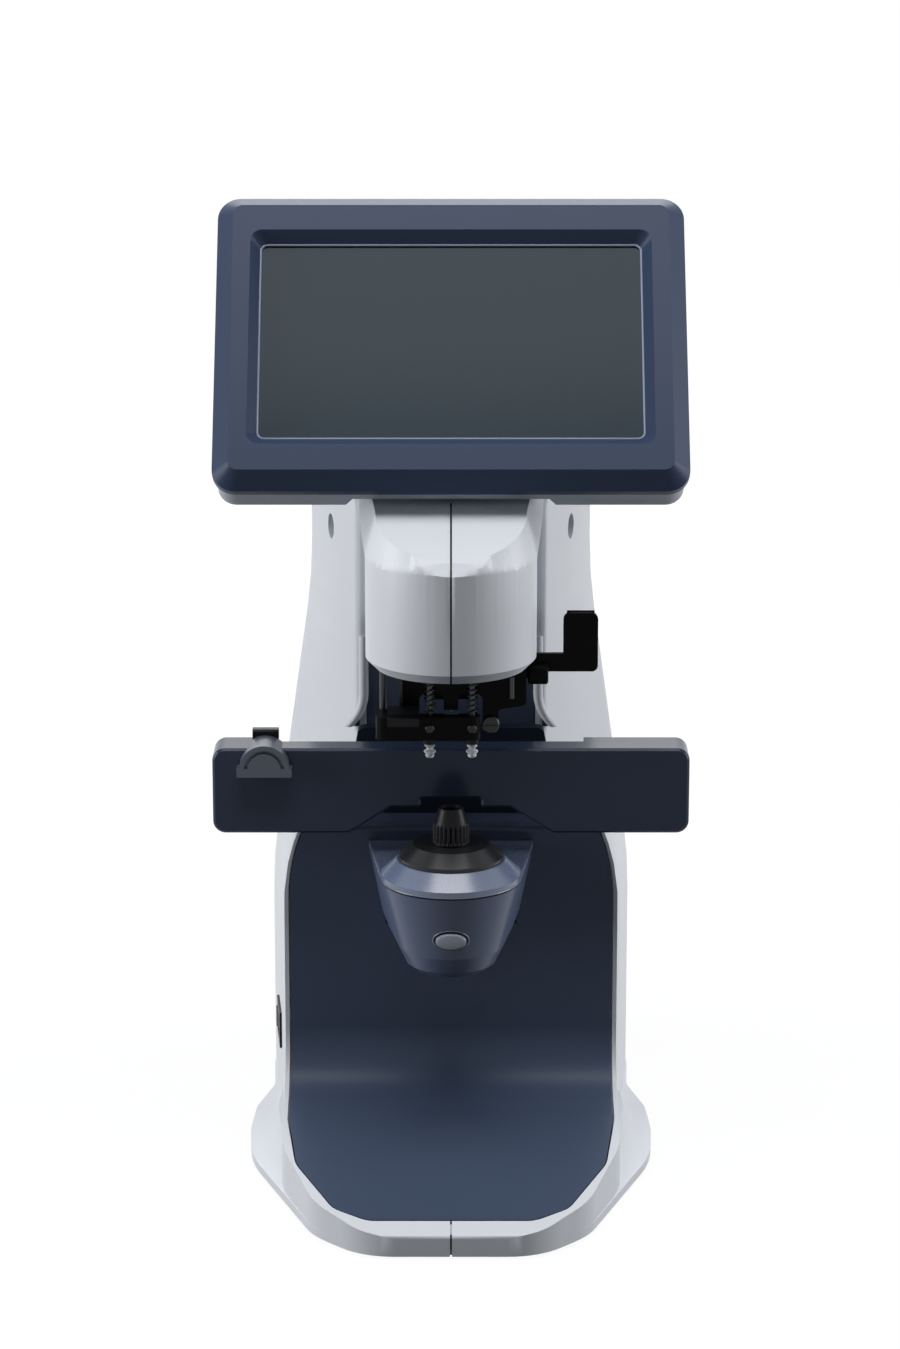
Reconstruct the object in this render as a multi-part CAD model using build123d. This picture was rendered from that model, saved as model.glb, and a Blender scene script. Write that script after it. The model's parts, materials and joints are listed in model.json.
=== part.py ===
from build123d import *

import os
from math import acos, atan, atan2, cos, degrees, hypot, pi, radians, sin, tan

# Auto lensmeter: a table instrument that reads the power of spectacle lenses.
#
# The lens lies on the nosepiece of the stage, leans on the sliding lens table, and is held down
# by two soft tips. Light from the head passes down through it to the sensor in the stage.
#
# Frame: X to the viewer's right, Y to the back, Z up. The origin is the middle of the base,
# at the height of the surface it stands on. All sizes are in millimetres.

# Fits and gaps
WALL = 2.5  # wall of the moulded covers
SEAM = 0.8  # dark line between the two covers
TONGUE = 2.0  # how far the left cover's inner half reaches behind the right cover
PANEL_GAP = 0.6  # line round a panel let into the covers
RUN_FIT = 0.06  # radial clearance of a rod that slides in its sleeve
SEAT = 0.3  # clearance of a piece that sits in or beside another

# Body outline from the side, as seen towards -X (Y, Z)
FOOT_FRONT = -128.0
FOOT_LIP_HEIGHT = 10.4
BODY_BACK = 128.0
PANEL_FACE = -12.0  # front face of the lower body
THROAT_FACE = 12.0  # front face of the column above the shelf
SHELF_HEIGHT = 150.0
HEAD_BOTTOM = 232.0
BODY_TOP = 303.0
GROUND_GAP = 1.5  # height of the covers' lower edge
FOOT_SLOPE_START = (-119.0, 13.9)
FOOT_SLOPE_END = (-43.0, 30.1)
BEND_RADIUS = 26.0

# Body outline from the front (X, Z), a wedge seen from above
BODY_HALF = 80.6  # half width of the lower body where it is widest
BODY_WIDEST = 95.0  # Y of the widest place
SIDE_FLARE = 9.2  # how much narrower each side is at the front panel
TOP_HALF = 61.9  # half width of the column's top, at its widest
WAIST_LOW = 104.0  # where the sides start to draw in
WAIST_HIGH = 236.0  # where they stop
WAIST_SOFT = 16.0  # half height of the soft bends at both
SHOULDER_LOW = 116.0  # where the front rim starts to draw in
SHOULDER_CURVE = 80.0
COLUMN_FRONT = [(0.0, 38.6), (0.7, 40.2), (2.4, 41.2)]  # rounded front edge: step back, half width
BACK_ROUND = [(12.0, 2.5), (19.0, 7.0), (24.0, 13.0), (35.0, 22.0)]  # step back, drawn in
CROWN_EDGE = 9.0  # rounding of the top edges
CROWN_STEPS = 3

# Base skirt
SKIRT_HALF = 88.0
SKIRT_LEVELS = [(5.0, 0.0), (6.4, 4.2), (8.6, 8.0), (12.0, 10.8), (17.0, 12.4)]  # height, drawn in

# Head
AXIS_Y = -57.0  # optical axis
HEAD_RADIUS = 35.0
HEAD_LOW_CHAMFER = 4.2
HEAD_BROW = 277.0  # top of the upright front face
HEAD_STEP = 282.0
HEAD_SLOPE_TOP = (-48.0, 299.5)
HEAD_FLARE = 6.0  # how far the sides spread up to the top
HEAD_ROOT_FLARE = 0.3  # share of the spread left where the sides meet the column
HEAD_ROOT_BLEND = 3.0  # hollow blend from the head's sides into the column

# Panels let into the covers
PANEL_HALF = 69.0
PANEL_SHOULDER = 132.0  # where its sides turn inwards
PANEL_TOP_HALF = 62.3  # half width at the shelf
PANEL_CORNER = 75.0
PANEL_THICK = 2.4
PANEL_TOE = -119.0
THROAT_HALF = 35.6

# Stage, on the optical axis
STAGE_RADIUS = 29.0
STAGE_ROOT_HALF = 35.0  # half width where it meets the front panel
STAGE_SEAM = 140.0
STAGE_BAND = 143.2
STAGE_RING = 22.5  # top of the collar's cone
STAGE_RING_TOP = 149.3
BOWL_LEVELS = [(140.0, 0.0), (112.0, 7.2), (105.0, 10.4), (102.0, 14.5), (100.7, 19.0)]
BOWL_WALL = 2.0
STAGE_MOUTH = 28.0  # half width of the way from the bowl into the body
STAGE_MOUTH_LOW = 106.0
STAGE_MOUTH_HIGH = 137.0
DISC_LOW = 149.8
DISC_TOP = 155.8
DISC_RADIUS = 21.8
DISC_TOP_RADIUS = 15.8
DISC_SPIGOT = 11.7
COVER_GLASS_RADIUS = 6.4
COVER_GLASS_LOW = 144.2
COVER_GLASS_THICK = 1.5
NOSE_RADIUS = 7.2
NOSE_SHOULDER = 165.0
NOSE_TOP = 171.2
NOSE_TIP_RADIUS = 5.0
NOSE_BORE = 3.8
NOSE_SPIGOT = 5.0
NOSE_SPIGOT_DEPTH = 5.0
NOSE_RIBS = 24
NOSE_RIB_RADIUS = 0.45

# Read button
BUTTON_WIDE = 12.2
BUTTON_TALL = 7.0
BUTTON_HEIGHT = 121.0
BUTTON_FACE = -83.0
BUTTON_FLANGE_FACE = -76.4
BUTTON_TRAVEL = 1.5

# Lens table
TABLE_HALF = 100.0
TABLE_LOW = 152.7
TABLE_TOP = 189.6
TABLE_FACE = -33.0
TABLE_DEPTH = 18.0
TABLE_CORNER = 5.3
TABLE_NOTCH = [(43.0, 152.7), (25.0, 164.0), (12.7, 164.0), (12.7, 168.0)]
TABLE_EDGE = 1.0
RAIL_BED_LEFT = 20.0 - TABLE_HALF
RAIL_BED_RIGHT = 56.0
RAIL_BED_DEPTH = 6.5
RAIL_LOW = 176.0
RAIL_TALL = 6.0
RAIL_THICK = 1.8
ROD_SPREAD = 28.0  # half distance between the table's two rods
ROD_HEIGHT = 169.5
ROD_RADIUS = 3.0
ROD_BACK = 49.0
SLEEVE_RADIUS = 5.0
SLEEVE_START = 14.6
SLEEVE_END = 38.0
HOUSING_HALF = 46.5
HOUSING_TOP = 188.0
HOUSING_FACE = 6.0

# Pupil distance slider
SLIDER_X = 22.0 - TABLE_HALF
SLIDER_RADIUS = 10.5
SLIDER_CENTRE = 182.1
SLIDER_BAR_HALF = 11.5
SLIDER_BAR_LOW = 179.0
SLIDER_BAR_TALL = 3.7
SLIDER_FRONT = -40.0
SLIDER_BACK = -23.0
SLIDER_DISC = 7.0
SLIDER_GROOVE = 1.4
CLIP_HALF = 5.5
CLIP_TOP = 195.0
CLIP_TONGUE_HALF = 2.0
CLIP_BACK = -17.8

# Lens holder
HOLDER_LEFT = -29.5
HOLDER_RIGHT = 12.0
HOLDER_LOW = 201.0
HOLDER_TALL = 9.7
HOLDER_FACE = -61.5
HOLDER_THICK = 7.0
HOLDER_ROD_RADIUS = 1.45
HOLDER_ROD_X = -28.0
HOLDER_ROD_Y = -48.0
HOLDER_ROD_TOP = 286.0
TAB_LEFT = -26.0
TAB_RIGHT = -13.0
TAB_THICK = 3.6
TAB_FRONT = -72.0
TIP_SPREAD = 8.7
TIP_RADIUS = 2.2
TIP_LOW = 192.3
TIP_TALL = 6.4
COLLAR_RADIUS = 2.7
PIN_RADIUS = 1.2
PIN_TOP = 224.5
SPRING_WIRE = 0.35
SPRING_RADIUS = 2.0
SPRING_TURNS = 6
HOLDER_SCREW_RADIUS = 1.9
SCREW_LEVEL = 206.0

# Marker unit
PLATE_LEFT = -20.0
PLATE_RIGHT = 31.0
PLATE_LOW = 212.0
PLATE_TOP = 231.5
PLATE_FACE = -53.5
PLATE_THICK = 2.2
PLATE_STEM = 3.0
EAR_SIDE = 3.0  # thickness of the cheek that carries the lever
WINDOW_OUTER = 13.5
WINDOW_TOP = 219.0
LEG_X = 16.3
LEG_HALF = 3.2
LEG_LOW = 202.0
MARKER_SCREW_SPREAD = 10.4
MARKER_SCREW_HEIGHT = 225.0
MARKER_SCREW_RADIUS = 2.0
SHAFT_RADIUS = 2.5
SHAFT_Y = -35.0
SHAFT_HEIGHT = 223.2
KNOB_RADIUS = 5.0
KNOB_START = 32.0
KNOB_END = 40.4
LEVER_ARM_LOW = 223.8
LEVER_ARM_TALL = 7.7
PADDLE_LEFT = 46.6
PADDLE_RIGHT = 61.0
PADDLE_TOP = 248.8
LEVER_THICK = 2.2
CARRIAGE_HALF = 11.0
CARRIAGE_LOW = 214.0
CARRIAGE_TALL = 9.0
CARRIAGE_FACE = -45.0
CARRIAGE_THICK = 6.0
CARRIAGE_SLANT = 20.0  # degrees from upright, forwards as it goes down
CARRIAGE_ROD_RADIUS = 2.0
CARRIAGE_ROD_LENGTH = 52.0
NEEDLE_RADIUS = 0.8
NEEDLE_SPREAD = 8.5
NEEDLE_LENGTH = 6.0

# Head inside
HEAD_MOUTH = (-24.0, 24.0, -74.0, -27.0)  # opening under the head: left, right, front, back
BARREL_RADIUS = 14.0
BARREL_WALL = 2.0
BARREL_LOW = 237.0
BARREL_TOP = 280.0
COLLIMATOR_LOW = 239.0
LENS_EDGE = 2.0
LENS_SAG = 3.6
ARM_LOW = 254.0
ARM_TOP = 260.0
ARM_HALF = 22.0
GUIDE_RADIUS = 4.0

# Frame inside the body
POST_FRONT = 60.0
POST_BACK = 68.0
POST_HALF = 19.0
LOWER_ARM_LOW = 106.8
LOWER_ARM_TOP = 110.8
LOWER_ARM_HALF = 12.0
BOARD_THICK = 1.6
PLATE_TOP_Z = 3.6  # top of the base plate
SENSOR_RADIUS = 10.0
GRID_COUNT = 5
GRID_PITCH = 2.4
GRID_HOLE = 1.2
SENSOR_TOP = 138.0

# Display, in its own slanted frame: width, height up the slope, depth towards the viewer
SCREEN_TILT = 37.0  # degrees back from upright
SCREEN_EDGE = (0.0, -62.5, 305.7)
BEZEL_WIDE = 193.8
BEZEL_TALL = 134.5
BEZEL_CORNER = 9.7
BEZEL_BEVEL = 6.65
BEZEL_DEPTH = 6.75
BEZEL_BACK = 3.0
OPENING_WIDE = 165.7
OPENING_TALL = 98.2
GLASS_WIDE = 157.5
GLASS_TALL = 89.0
GLASS_SINK = 5.0
GLASS_LAP = 2.0
GLASS_THICK = 1.1
LIP_THICK = 0.8
MODULE_THICK = 4.0
SHELL_INSET = 1.8
SHELL_EDGE_DEPTH = 13.5
SHELL_SHOULDER = 8.0
SHELL_BULGE = 6.0
SHELL_BULGE_WIDE = 143.0
SHELL_BULGE_TALL = 86.0
SHELL_WALL = 2.2
NOTCH_HALF = 40.0  # notch over the head: half width at its floor
NOTCH_SPREAD = 0.5  # how fast it widens backwards
NOTCH_FLOOR = 11.0  # depth of its floor behind the widest outline
NOTCH_RISE = 23.5  # height up the slope
SLOT_COUNT = 12
SLOT_PITCH = 6.0
PIVOT_Y = -6.0
PIVOT_Z = 315.0
PIVOT_RADIUS = 8.0
HINGE_PIN = 3.0
NECK_HALF = 15.0
EAR_THICK = 6.0
NECK_FRONT = -5.0
NECK_BACK = 9.0

# Small outside pieces
WELL_Y = 57.5  # screw wells in the column's flanks
WELL_Z = 265.0
WELL_RADIUS = 5.6
WELL_DEPTH = 4.5
SCREW_RADIUS = 3.8
FOOT_RADIUS = 9.0
FOOT_PEG = 4.0
FOOT_PLACES = [(-62, -40), (62, -40), (-56, 100), (56, 100)]
INLET_X = -28.0
INLET_Z = 56.0
INLET_WIDE = 30.0
INLET_TALL = 24.0
INLET_FACE = 118.6
SWITCH_Y = 40.0
SWITCH_Z = 43.0
SWITCH_LONG = 22.0
SWITCH_TALL = 14.0
TRUNNION_RADIUS = 1.2
TRUNNION_DEPTH = 3.7  # depth of the rocker's axis under the body's side


def block(x0, x1, y0, y1, z0, z1):
    """Box between two corners."""
    return Pos((x0 + x1) / 2, (y0 + y1) / 2, (z0 + z1) / 2) * Box(x1 - x0, y1 - y0, z1 - z0)


def upright(radius, z0, z1, x=0.0, y=0.0):
    """Cylinder along Z."""
    return Pos(x, y, (z0 + z1) / 2) * Cylinder(radius, z1 - z0)


def crosswise(radius, x0, x1, y, z):
    """Cylinder along X."""
    return Pos((x0 + x1) / 2, y, z) * Rot(0, 90, 0) * Cylinder(radius, x1 - x0)


def lengthwise(radius, y0, y1, x, z):
    """Cylinder along Y."""
    return Pos(x, (y0 + y1) / 2, z) * Rot(90, 0, 0) * Cylinder(radius, y1 - y0)


def outline(points, radii):
    """Closed face through the points, each corner rounded by its own radius."""
    return make_face(FilletPolyline(*points, radius=radii, close=True))


def mirrored(points):
    """The points followed by their mirror images, for an outline that is the same on both sides."""
    return list(points) + [(-x, other) for x, other in reversed(points)]


def side_prism(face, half):
    """Prism along X of a face drawn as (Y, Z)."""
    return extrude(Plane.YZ * face, amount=half, both=True)


def front_prism(face, y0, y1):
    """Prism along Y of a face drawn as (X, Z)."""
    return extrude(Plane((0, y1, 0), x_dir=(1, 0, 0), z_dir=(0, -1, 0)) * face, amount=y1 - y0)


def plan_prism(face, z0, z1):
    """Prism along Z of a face drawn as (X, Y)."""
    return extrude(Pos(0, 0, z0) * face, amount=z1 - z0)


def shrunk(face, by):
    """The face drawn in by a wall, or as it is for none."""
    return offset(face, amount=-by, kind=Kind.INTERSECTION) if by else face


def body_side():
    """Column and foot seen from the side."""
    points = [
        (FOOT_FRONT, GROUND_GAP), (FOOT_FRONT, FOOT_LIP_HEIGHT), FOOT_SLOPE_START, FOOT_SLOPE_END,
        (PANEL_FACE, FOOT_SLOPE_END[1] + 8), (PANEL_FACE, SHELF_HEIGHT), (THROAT_FACE, SHELF_HEIGHT),
        (THROAT_FACE, BODY_TOP), (70, BODY_TOP), (103, 262), (112, 190), (118, 40),
        (BODY_BACK, 16), (BODY_BACK, GROUND_GAP),
    ]
    radii = [0, 2, 3, BEND_RADIUS, BEND_RADIUS, 3, 2, 0, 40, 60, 200, 30, 6, 0]
    return outline(points, radii)


def wide_half(z):
    """Half width at the widest place at a height, with soft bends at both ends of the waist."""
    lean = (BODY_HALF - TOP_HALF) / (WAIST_HIGH - WAIST_LOW)
    half = BODY_HALF - lean * min(max(z - WAIST_LOW, 0), WAIST_HIGH - WAIST_LOW)
    low = max(0, 1 - abs(z - WAIST_LOW) / WAIST_SOFT)
    high = max(0, 1 - abs(z - WAIST_HIGH) / WAIST_SOFT)
    return half + lean * WAIST_SOFT / 4 * (high**2 - low**2)


def rim_half(z):
    """Half width of the lower body at the front panel at a height."""
    return BODY_HALF - SIDE_FLARE - max(0, z - SHOULDER_LOW) ** 2 / (2 * SHOULDER_CURVE)


def side_half(y):
    """Half width of the lower body, below its waist, at a distance back."""
    return BODY_HALF - SIDE_FLARE * (BODY_WIDEST - y) / (BODY_WIDEST - PANEL_FACE)


def side_turn():
    """Angle of the lower body's sides in plan, in degrees."""
    return degrees(atan(SIDE_FLARE / (BODY_WIDEST - PANEL_FACE)))


def flank_half(y):
    """Half width of the column's flanks above the waist at a distance back."""
    step, start = COLUMN_FRONT[-1]
    start_y = THROAT_FACE + step
    return start + (TOP_HALF - start) * (y - start_y) / (BODY_WIDEST - start_y)


def flank_turn():
    """Angle of the column's flanks in plan, in degrees."""
    return degrees(atan((flank_half(BODY_WIDEST) - flank_half(THROAT_FACE)) / (BODY_WIDEST - THROAT_FACE)))


def standing_face(y, half_points):
    """Upright face at a distance back, from the (half width, height) points of one side."""
    line = Polyline(*[(x, y, z) for x, z in mirrored(half_points)], close=True)
    return make_face(line)


def body_plan():
    """Foot seen from above; behind the panel's face it leaves the sides free."""
    half = [(36, FOOT_FRONT), (57, -106), (BODY_HALF - SIDE_FLARE + 0.5, -63),
            (BODY_HALF - SIDE_FLARE + 0.5, PANEL_FACE), (BODY_HALF + 9, PANEL_FACE + 1),
            (BODY_HALF + 9, BODY_BACK)]
    return outline(mirrored(half), [30, 40, 60, 0, 0, 0, 0, 0, 0, 60, 40, 30])


def skirt_plan():
    """Lower edge of the base seen from above."""
    back = BODY_HALF + 0.6
    half = [(36, FOOT_FRONT), (57, -106), (86, -26), (SKIRT_HALF, 6), (SKIRT_HALF - 1.5, 34),
            (back - 1.6, 62), (back, 96), (back - 10, BODY_BACK)]
    return outline(mirrored(half), [30, 40, 90, 90, 25, 25, 40, 24, 24, 40, 25, 25, 90, 90, 40, 30])


def head_plan(flare, by):
    """Head seen from above: a half circle in front, sides back to the column, drawn in by a wall."""
    r = HEAD_RADIUS + flare - by
    neck = HEAD_RADIUS + flare * HEAD_ROOT_FLARE - by
    root = THROAT_FACE + 1
    wide = neck + HEAD_ROOT_BLEND + 2
    sides = [(-r, AXIS_Y), (-neck, root), (-wide, root), (-wide, root + 20),
             (wide, root + 20), (wide, root), (neck, root), (r, AXIS_Y)]
    edge = FilletPolyline(*sides, radius=[HEAD_ROOT_BLEND, 0, 0, 0, 0, HEAD_ROOT_BLEND])
    return make_face([edge, ThreePointArc((-r, AXIS_Y), (0, AXIS_Y - r), (r, AXIS_Y))])


def head_side(low=0.0):
    """Head seen from the side, with its sloping brow and, if wanted, its lower chamfer."""
    front = AXIS_Y - HEAD_RADIUS
    points = [
        (THROAT_FACE + 15, HEAD_BOTTOM), (front + low, HEAD_BOTTOM), (front, HEAD_BOTTOM + low),
        (front, HEAD_BROW), (front + 4, HEAD_STEP), HEAD_SLOPE_TOP, (-30, BODY_TOP),
        (THROAT_FACE + 15, BODY_TOP),
    ]
    radii = [0, 0, 0, 0, 2, 10, 20, 0]
    if not low:
        del points[2]
        del radii[2]
    return outline(points, radii)


def head_shape(by):
    """Head, drawn in by a wall."""
    low = HEAD_BOTTOM + by
    chamfer_part = loft([Pos(0, 0, low) * head_plan(0, by + HEAD_LOW_CHAMFER),
                         Pos(0, 0, low + HEAD_LOW_CHAMFER) * head_plan(0, by)], ruled=True)
    trunk = plan_prism(head_plan(0, by), low + HEAD_LOW_CHAMFER, HEAD_BROW)
    flare = loft([Pos(0, 0, HEAD_BROW) * head_plan(0, by),
                  Pos(0, 0, BODY_TOP) * head_plan(HEAD_FLARE, by)], ruled=True)
    whole = chamfer_part + trunk + flare
    return whole & side_prism(shrunk(head_side(), by), HEAD_RADIUS + 60)


def upper_column(by):
    """Column above the shelf: flanks that run back from a narrow front, with a rounded crown."""
    low, top = SHELF_HEIGHT - by, BODY_TOP - by
    crown = CROWN_EDGE - by
    soft = (WAIST_HIGH - WAIST_SOFT, WAIST_HIGH, WAIST_HIGH + WAIST_SOFT)
    levels = [(z, 0.0) for z in (low, *soft, top - crown)]
    for step in range(1, CROWN_STEPS + 1):
        turn = pi / 2 * step / CROWN_STEPS
        levels.append((top - crown + crown * sin(turn), crown * (1 - cos(turn))))
    stations = [(THROAT_FACE + by + step, lambda z, half=half: half) for step, half in COLUMN_FRONT]
    stations.append((BODY_WIDEST, wide_half))
    stations += [(BODY_WIDEST + step, lambda z, drawn=drawn: wide_half(z) - drawn)
                 for step, drawn in BACK_ROUND]
    return loft([standing_face(y, [(half(z) - by - inset, z) for z, inset in levels])
                 for y, half in stations], ruled=True)


def lower_body(by):
    """Lower body and foot before they are cut to the side outline, drawn in by a wall."""
    top = SHELF_HEIGHT - by
    levels = [0.0, WAIST_LOW - WAIST_SOFT, WAIST_LOW, WAIST_LOW + WAIST_SOFT, SHOULDER_LOW + 17,
              SHOULDER_LOW + 26, top]
    stations = [(FOOT_FRONT - 10, rim_half), (PANEL_FACE, rim_half), (BODY_WIDEST, wide_half)]
    stations += [(BODY_WIDEST + step, lambda z, drawn=drawn: wide_half(z) - drawn)
                 for step, drawn in BACK_ROUND]
    return loft([standing_face(y, [(half(z) - by, z) for z in levels])
                 for y, half in stations], ruled=True)


def column_shape(by):
    """Column, lower body and foot, drawn in by a wall."""
    side = side_prism(shrunk(body_side(), by), 120)
    plan = plan_prism(shrunk(body_plan(), by), 0, BODY_TOP + 20)
    return (lower_body(by) & side & plan) + (upper_column(by) & side)


def skirt_shape(by):
    """Spreading base skirt with a hollow top, drawn in by a wall."""
    face = shrunk(skirt_plan(), by)
    low = plan_prism(face, GROUND_GAP, SKIRT_LEVELS[0][0] - by / 2)
    top = loft([Pos(0, 0, z - by / 2) * shrunk(face, drawn) for z, drawn in SKIRT_LEVELS], ruled=True)
    return low + top - block(-120, 120, FOOT_FRONT - 9, FOOT_FRONT + 28, FOOT_LIP_HEIGHT - 1.4 - by, 30)


def body_shape(by):
    """Whole covered body, drawn in by a wall."""
    return column_shape(by) + skirt_shape(by) + head_shape(by)


def panel_front(grow=0.0):
    """Front panel seen from the front; its sides turn inwards towards the shelf."""
    half, top = PANEL_HALF + grow, PANEL_TOP_HALF + grow
    over = SHELF_HEIGHT + 10
    slope = (half - top) / (SHELF_HEIGHT - PANEL_SHOULDER)
    end = top - slope * (over - SHELF_HEIGHT)
    return outline([(half, 9), (half, PANEL_SHOULDER), (end, over), (-end, over),
                    (-half, PANEL_SHOULDER), (-half, 9)], [0, PANEL_CORNER, 0, 0, PANEL_CORNER, 0])


def panel_plan(grow=0.0):
    """Front panel seen from above."""
    half = [(34 + grow, PANEL_TOE - grow), (48 + grow, -111), (64.5 + grow, -79),
            (PANEL_HALF + grow, -46), (PANEL_HALF + grow, THROAT_FACE - PANEL_GAP + grow)]
    return outline(mirrored(half), [12, 12, 20, 20, 0, 0, 20, 20, 12, 12])


def panel_sheet(grow, thick):
    """Bent sheet along the body's front, from the throat over the shelf, down and out over the foot."""
    band = side_prism(body_side(), 90) - side_prism(shrunk(body_side(), thick), 100)
    plan = plan_prism(panel_plan(grow), 5, SHELF_HEIGHT + 0.2)
    return band & front_prism(panel_front(grow), -140, 30) & plan


def make_front_panel():
    """Dark front panel with its way through to the stage."""
    mouth = block(-STAGE_MOUTH, STAGE_MOUTH, PANEL_FACE - 5, PANEL_FACE + 5,
                  STAGE_MOUTH_LOW, STAGE_MOUTH_HIGH)
    return panel_sheet(0, PANEL_THICK) - mouth


def make_throat_panel():
    """Dark panel behind the lens table, pierced for the table's two rods."""
    panel = block(-THROAT_HALF, THROAT_HALF, THROAT_FACE, THROAT_FACE + PANEL_THICK,
                  SHELF_HEIGHT + PANEL_GAP, HEAD_BOTTOM - PANEL_GAP)
    for x in (-ROD_SPREAD, ROD_SPREAD):
        panel -= lengthwise(ROD_RADIUS + SEAT, THROAT_FACE - 1, THROAT_FACE + 5, x, ROD_HEIGHT)
    return panel


def make_rod_housing():
    """Low dark housing in front of the throat panel, with slanted ends, that the rods leave."""
    low = SHELF_HEIGHT + SEAT
    face = outline([(HOUSING_HALF, low), (HOUSING_HALF - 7, HOUSING_TOP),
                    (7 - HOUSING_HALF, HOUSING_TOP), (-HOUSING_HALF, low)], [0, 3, 3, 0])
    housing = front_prism(face, HOUSING_FACE, THROAT_FACE)
    for x in (-ROD_SPREAD, ROD_SPREAD):
        housing -= lengthwise(ROD_RADIUS + SEAT, HOUSING_FACE - 1, THROAT_FACE + 1, x, ROD_HEIGHT)
    return housing


def switch_place():
    """Place of the power switch on the left side: X inwards, Y back along the side, Z up."""
    return Pos(-side_half(SWITCH_Y), SWITCH_Y, SWITCH_Z) * Rot(0, 0, side_turn())


def well_place(side):
    """Place of a screw well on a flank: its local X points out of the body."""
    turn = -flank_turn() if side > 0 else 180 + flank_turn()
    return Pos(side * flank_half(WELL_Y), WELL_Y, WELL_Z) * Rot(0, 0, turn)


def cover_cuts():
    """All openings through the covers."""
    cuts = panel_sheet(PANEL_GAP, WALL + 0.6)
    cuts += block(-THROAT_HALF - PANEL_GAP, THROAT_HALF + PANEL_GAP, THROAT_FACE - 1,
                  THROAT_FACE + WALL + 1, SHELF_HEIGHT + SEAT, HEAD_BOTTOM)
    left, right, front, back = HEAD_MOUTH
    cuts += block(left, right, front, back, HEAD_BOTTOM - 1, HEAD_BOTTOM + WALL + 1)
    rod_hole = HOLDER_ROD_RADIUS + 0.6
    cuts += upright(rod_hole, HEAD_BOTTOM - 1, HEAD_BOTTOM + 8, HOLDER_ROD_X, HOLDER_ROD_Y)
    cuts += block(-NECK_HALF - 1, NECK_HALF + 1, PIVOT_Y - 8, NECK_BACK + 1, 290, BODY_TOP + 1)
    cuts += switch_place() * block(-3, WALL + 2, -SWITCH_LONG / 2, SWITCH_LONG / 2,
                                   -SWITCH_TALL / 2, SWITCH_TALL / 2)
    cuts += block(INLET_X - INLET_WIDE / 2, INLET_X + INLET_WIDE / 2, INLET_FACE - 12,
                  BODY_BACK + 2, INLET_Z - INLET_TALL / 2, INLET_Z + INLET_TALL / 2)
    for side in (-1, 1):
        cuts += well_place(side) * crosswise(WELL_RADIUS, -WELL_DEPTH, 3, 0, 0)
        cuts += well_place(side) * crosswise(1.7, -WELL_DEPTH - 5, 0, 0, 0)
    return cuts


def seam_band(outer, inner, x0, x1):
    """Strip of the wall beside the split, between two depths under the outer surface."""
    strip = None
    for face in (body_side(), head_side(HEAD_LOW_CHAMFER)):
        prism = extrude(Plane.YZ * shrunk(face, outer), amount=x1 - x0)
        strip = prism if strip is None else strip + prism
    if inner:
        for face in (body_side(), head_side(HEAD_LOW_CHAMFER)):
            strip -= extrude(Plane.YZ * shrunk(face, inner), amount=x1 - x0)
    return Pos(x0, 0, 0) * strip


def make_covers():
    """The moulded covers: one thin shell, split on the centre line with a tongue behind the split."""
    cuts = cover_cuts()
    shell = body_shape(0) - body_shape(WALL)
    for side in (-1, 1):
        shell += well_place(side) * crosswise(WELL_RADIUS + 1.5, -WELL_DEPTH - 1.8, -1.2, 0, 0)
    shell -= cuts
    half = WALL / 2
    tongue = seam_band(half + 0.1, WALL - 0.1, -SEAM / 2 - 1, TONGUE) - cuts
    tongue -= block(-2, 4, -150, 150, 0, PLATE_TOP_Z + SEAT)
    left = (shell & block(-150, -SEAM / 2, -150, 150, 0, 400)) + tongue
    right = shell & block(SEAM / 2, 150, -150, 150, 0, 400)
    right -= seam_band(half - 0.1, 0, 0, TONGUE + SEAT) - block(-2, 4, -150, 150, 0, PLATE_TOP_Z)
    return left, right


def make_cover_screws():
    """Screws at the bottom of the wells in the flanks."""
    screws = None
    for side in (-1, 1):
        head = crosswise(SCREW_RADIUS, -WELL_DEPTH + 0.02, -WELL_DEPTH + 2, 0, 0)
        head = chamfer(head.edges().sort_by(Axis.X)[-1], 0.5)
        head -= crosswise(1.5, -WELL_DEPTH + 0.8, 0, 0, 0)
        head = well_place(side) * (head + crosswise(1.5, -WELL_DEPTH - 9, -WELL_DEPTH + 0.1, 0, 0))
        screws = head if screws is None else screws + head
    return screws


def make_base_plate():
    """Flat plate that closes the body below, with holes for the feet."""
    plate = plan_prism(shrunk(skirt_plan(), WALL + SEAT), GROUND_GAP, PLATE_TOP_Z)
    for x, y in FOOT_PLACES:
        plate -= upright(FOOT_PEG + SEAT / 2, GROUND_GAP - 1, PLATE_TOP_Z + 1, x, y)
    return plate


def make_feet():
    """Four rubber feet, each with a peg in the base plate."""
    feet = None
    for x, y in FOOT_PLACES:
        foot = upright(FOOT_RADIUS, 0, GROUND_GAP, x, y) + upright(FOOT_PEG, GROUND_GAP, 3.6, x, y)
        feet = foot if feet is None else feet + foot
    return feet


def make_inlet():
    """Power inlet in the back wall: a recess with three pins."""
    wide = INLET_WIDE / 2 - SEAT
    tall = INLET_TALL / 2 - SEAT
    body = block(INLET_X - wide, INLET_X + wide, INLET_FACE - 20, INLET_FACE,
                 INLET_Z - tall, INLET_Z + tall)
    body -= block(INLET_X - wide + 2, INLET_X + wide - 2, INLET_FACE - 16, INLET_FACE + 1,
                  INLET_Z - tall + 3, INLET_Z + tall - 3)
    for x in (-7, 0, 7):
        body += block(INLET_X + x - 1, INLET_X + x + 1, INLET_FACE - 17, INLET_FACE - 3,
                      INLET_Z - 2.5, INLET_Z + 2.5)
    return body


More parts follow.
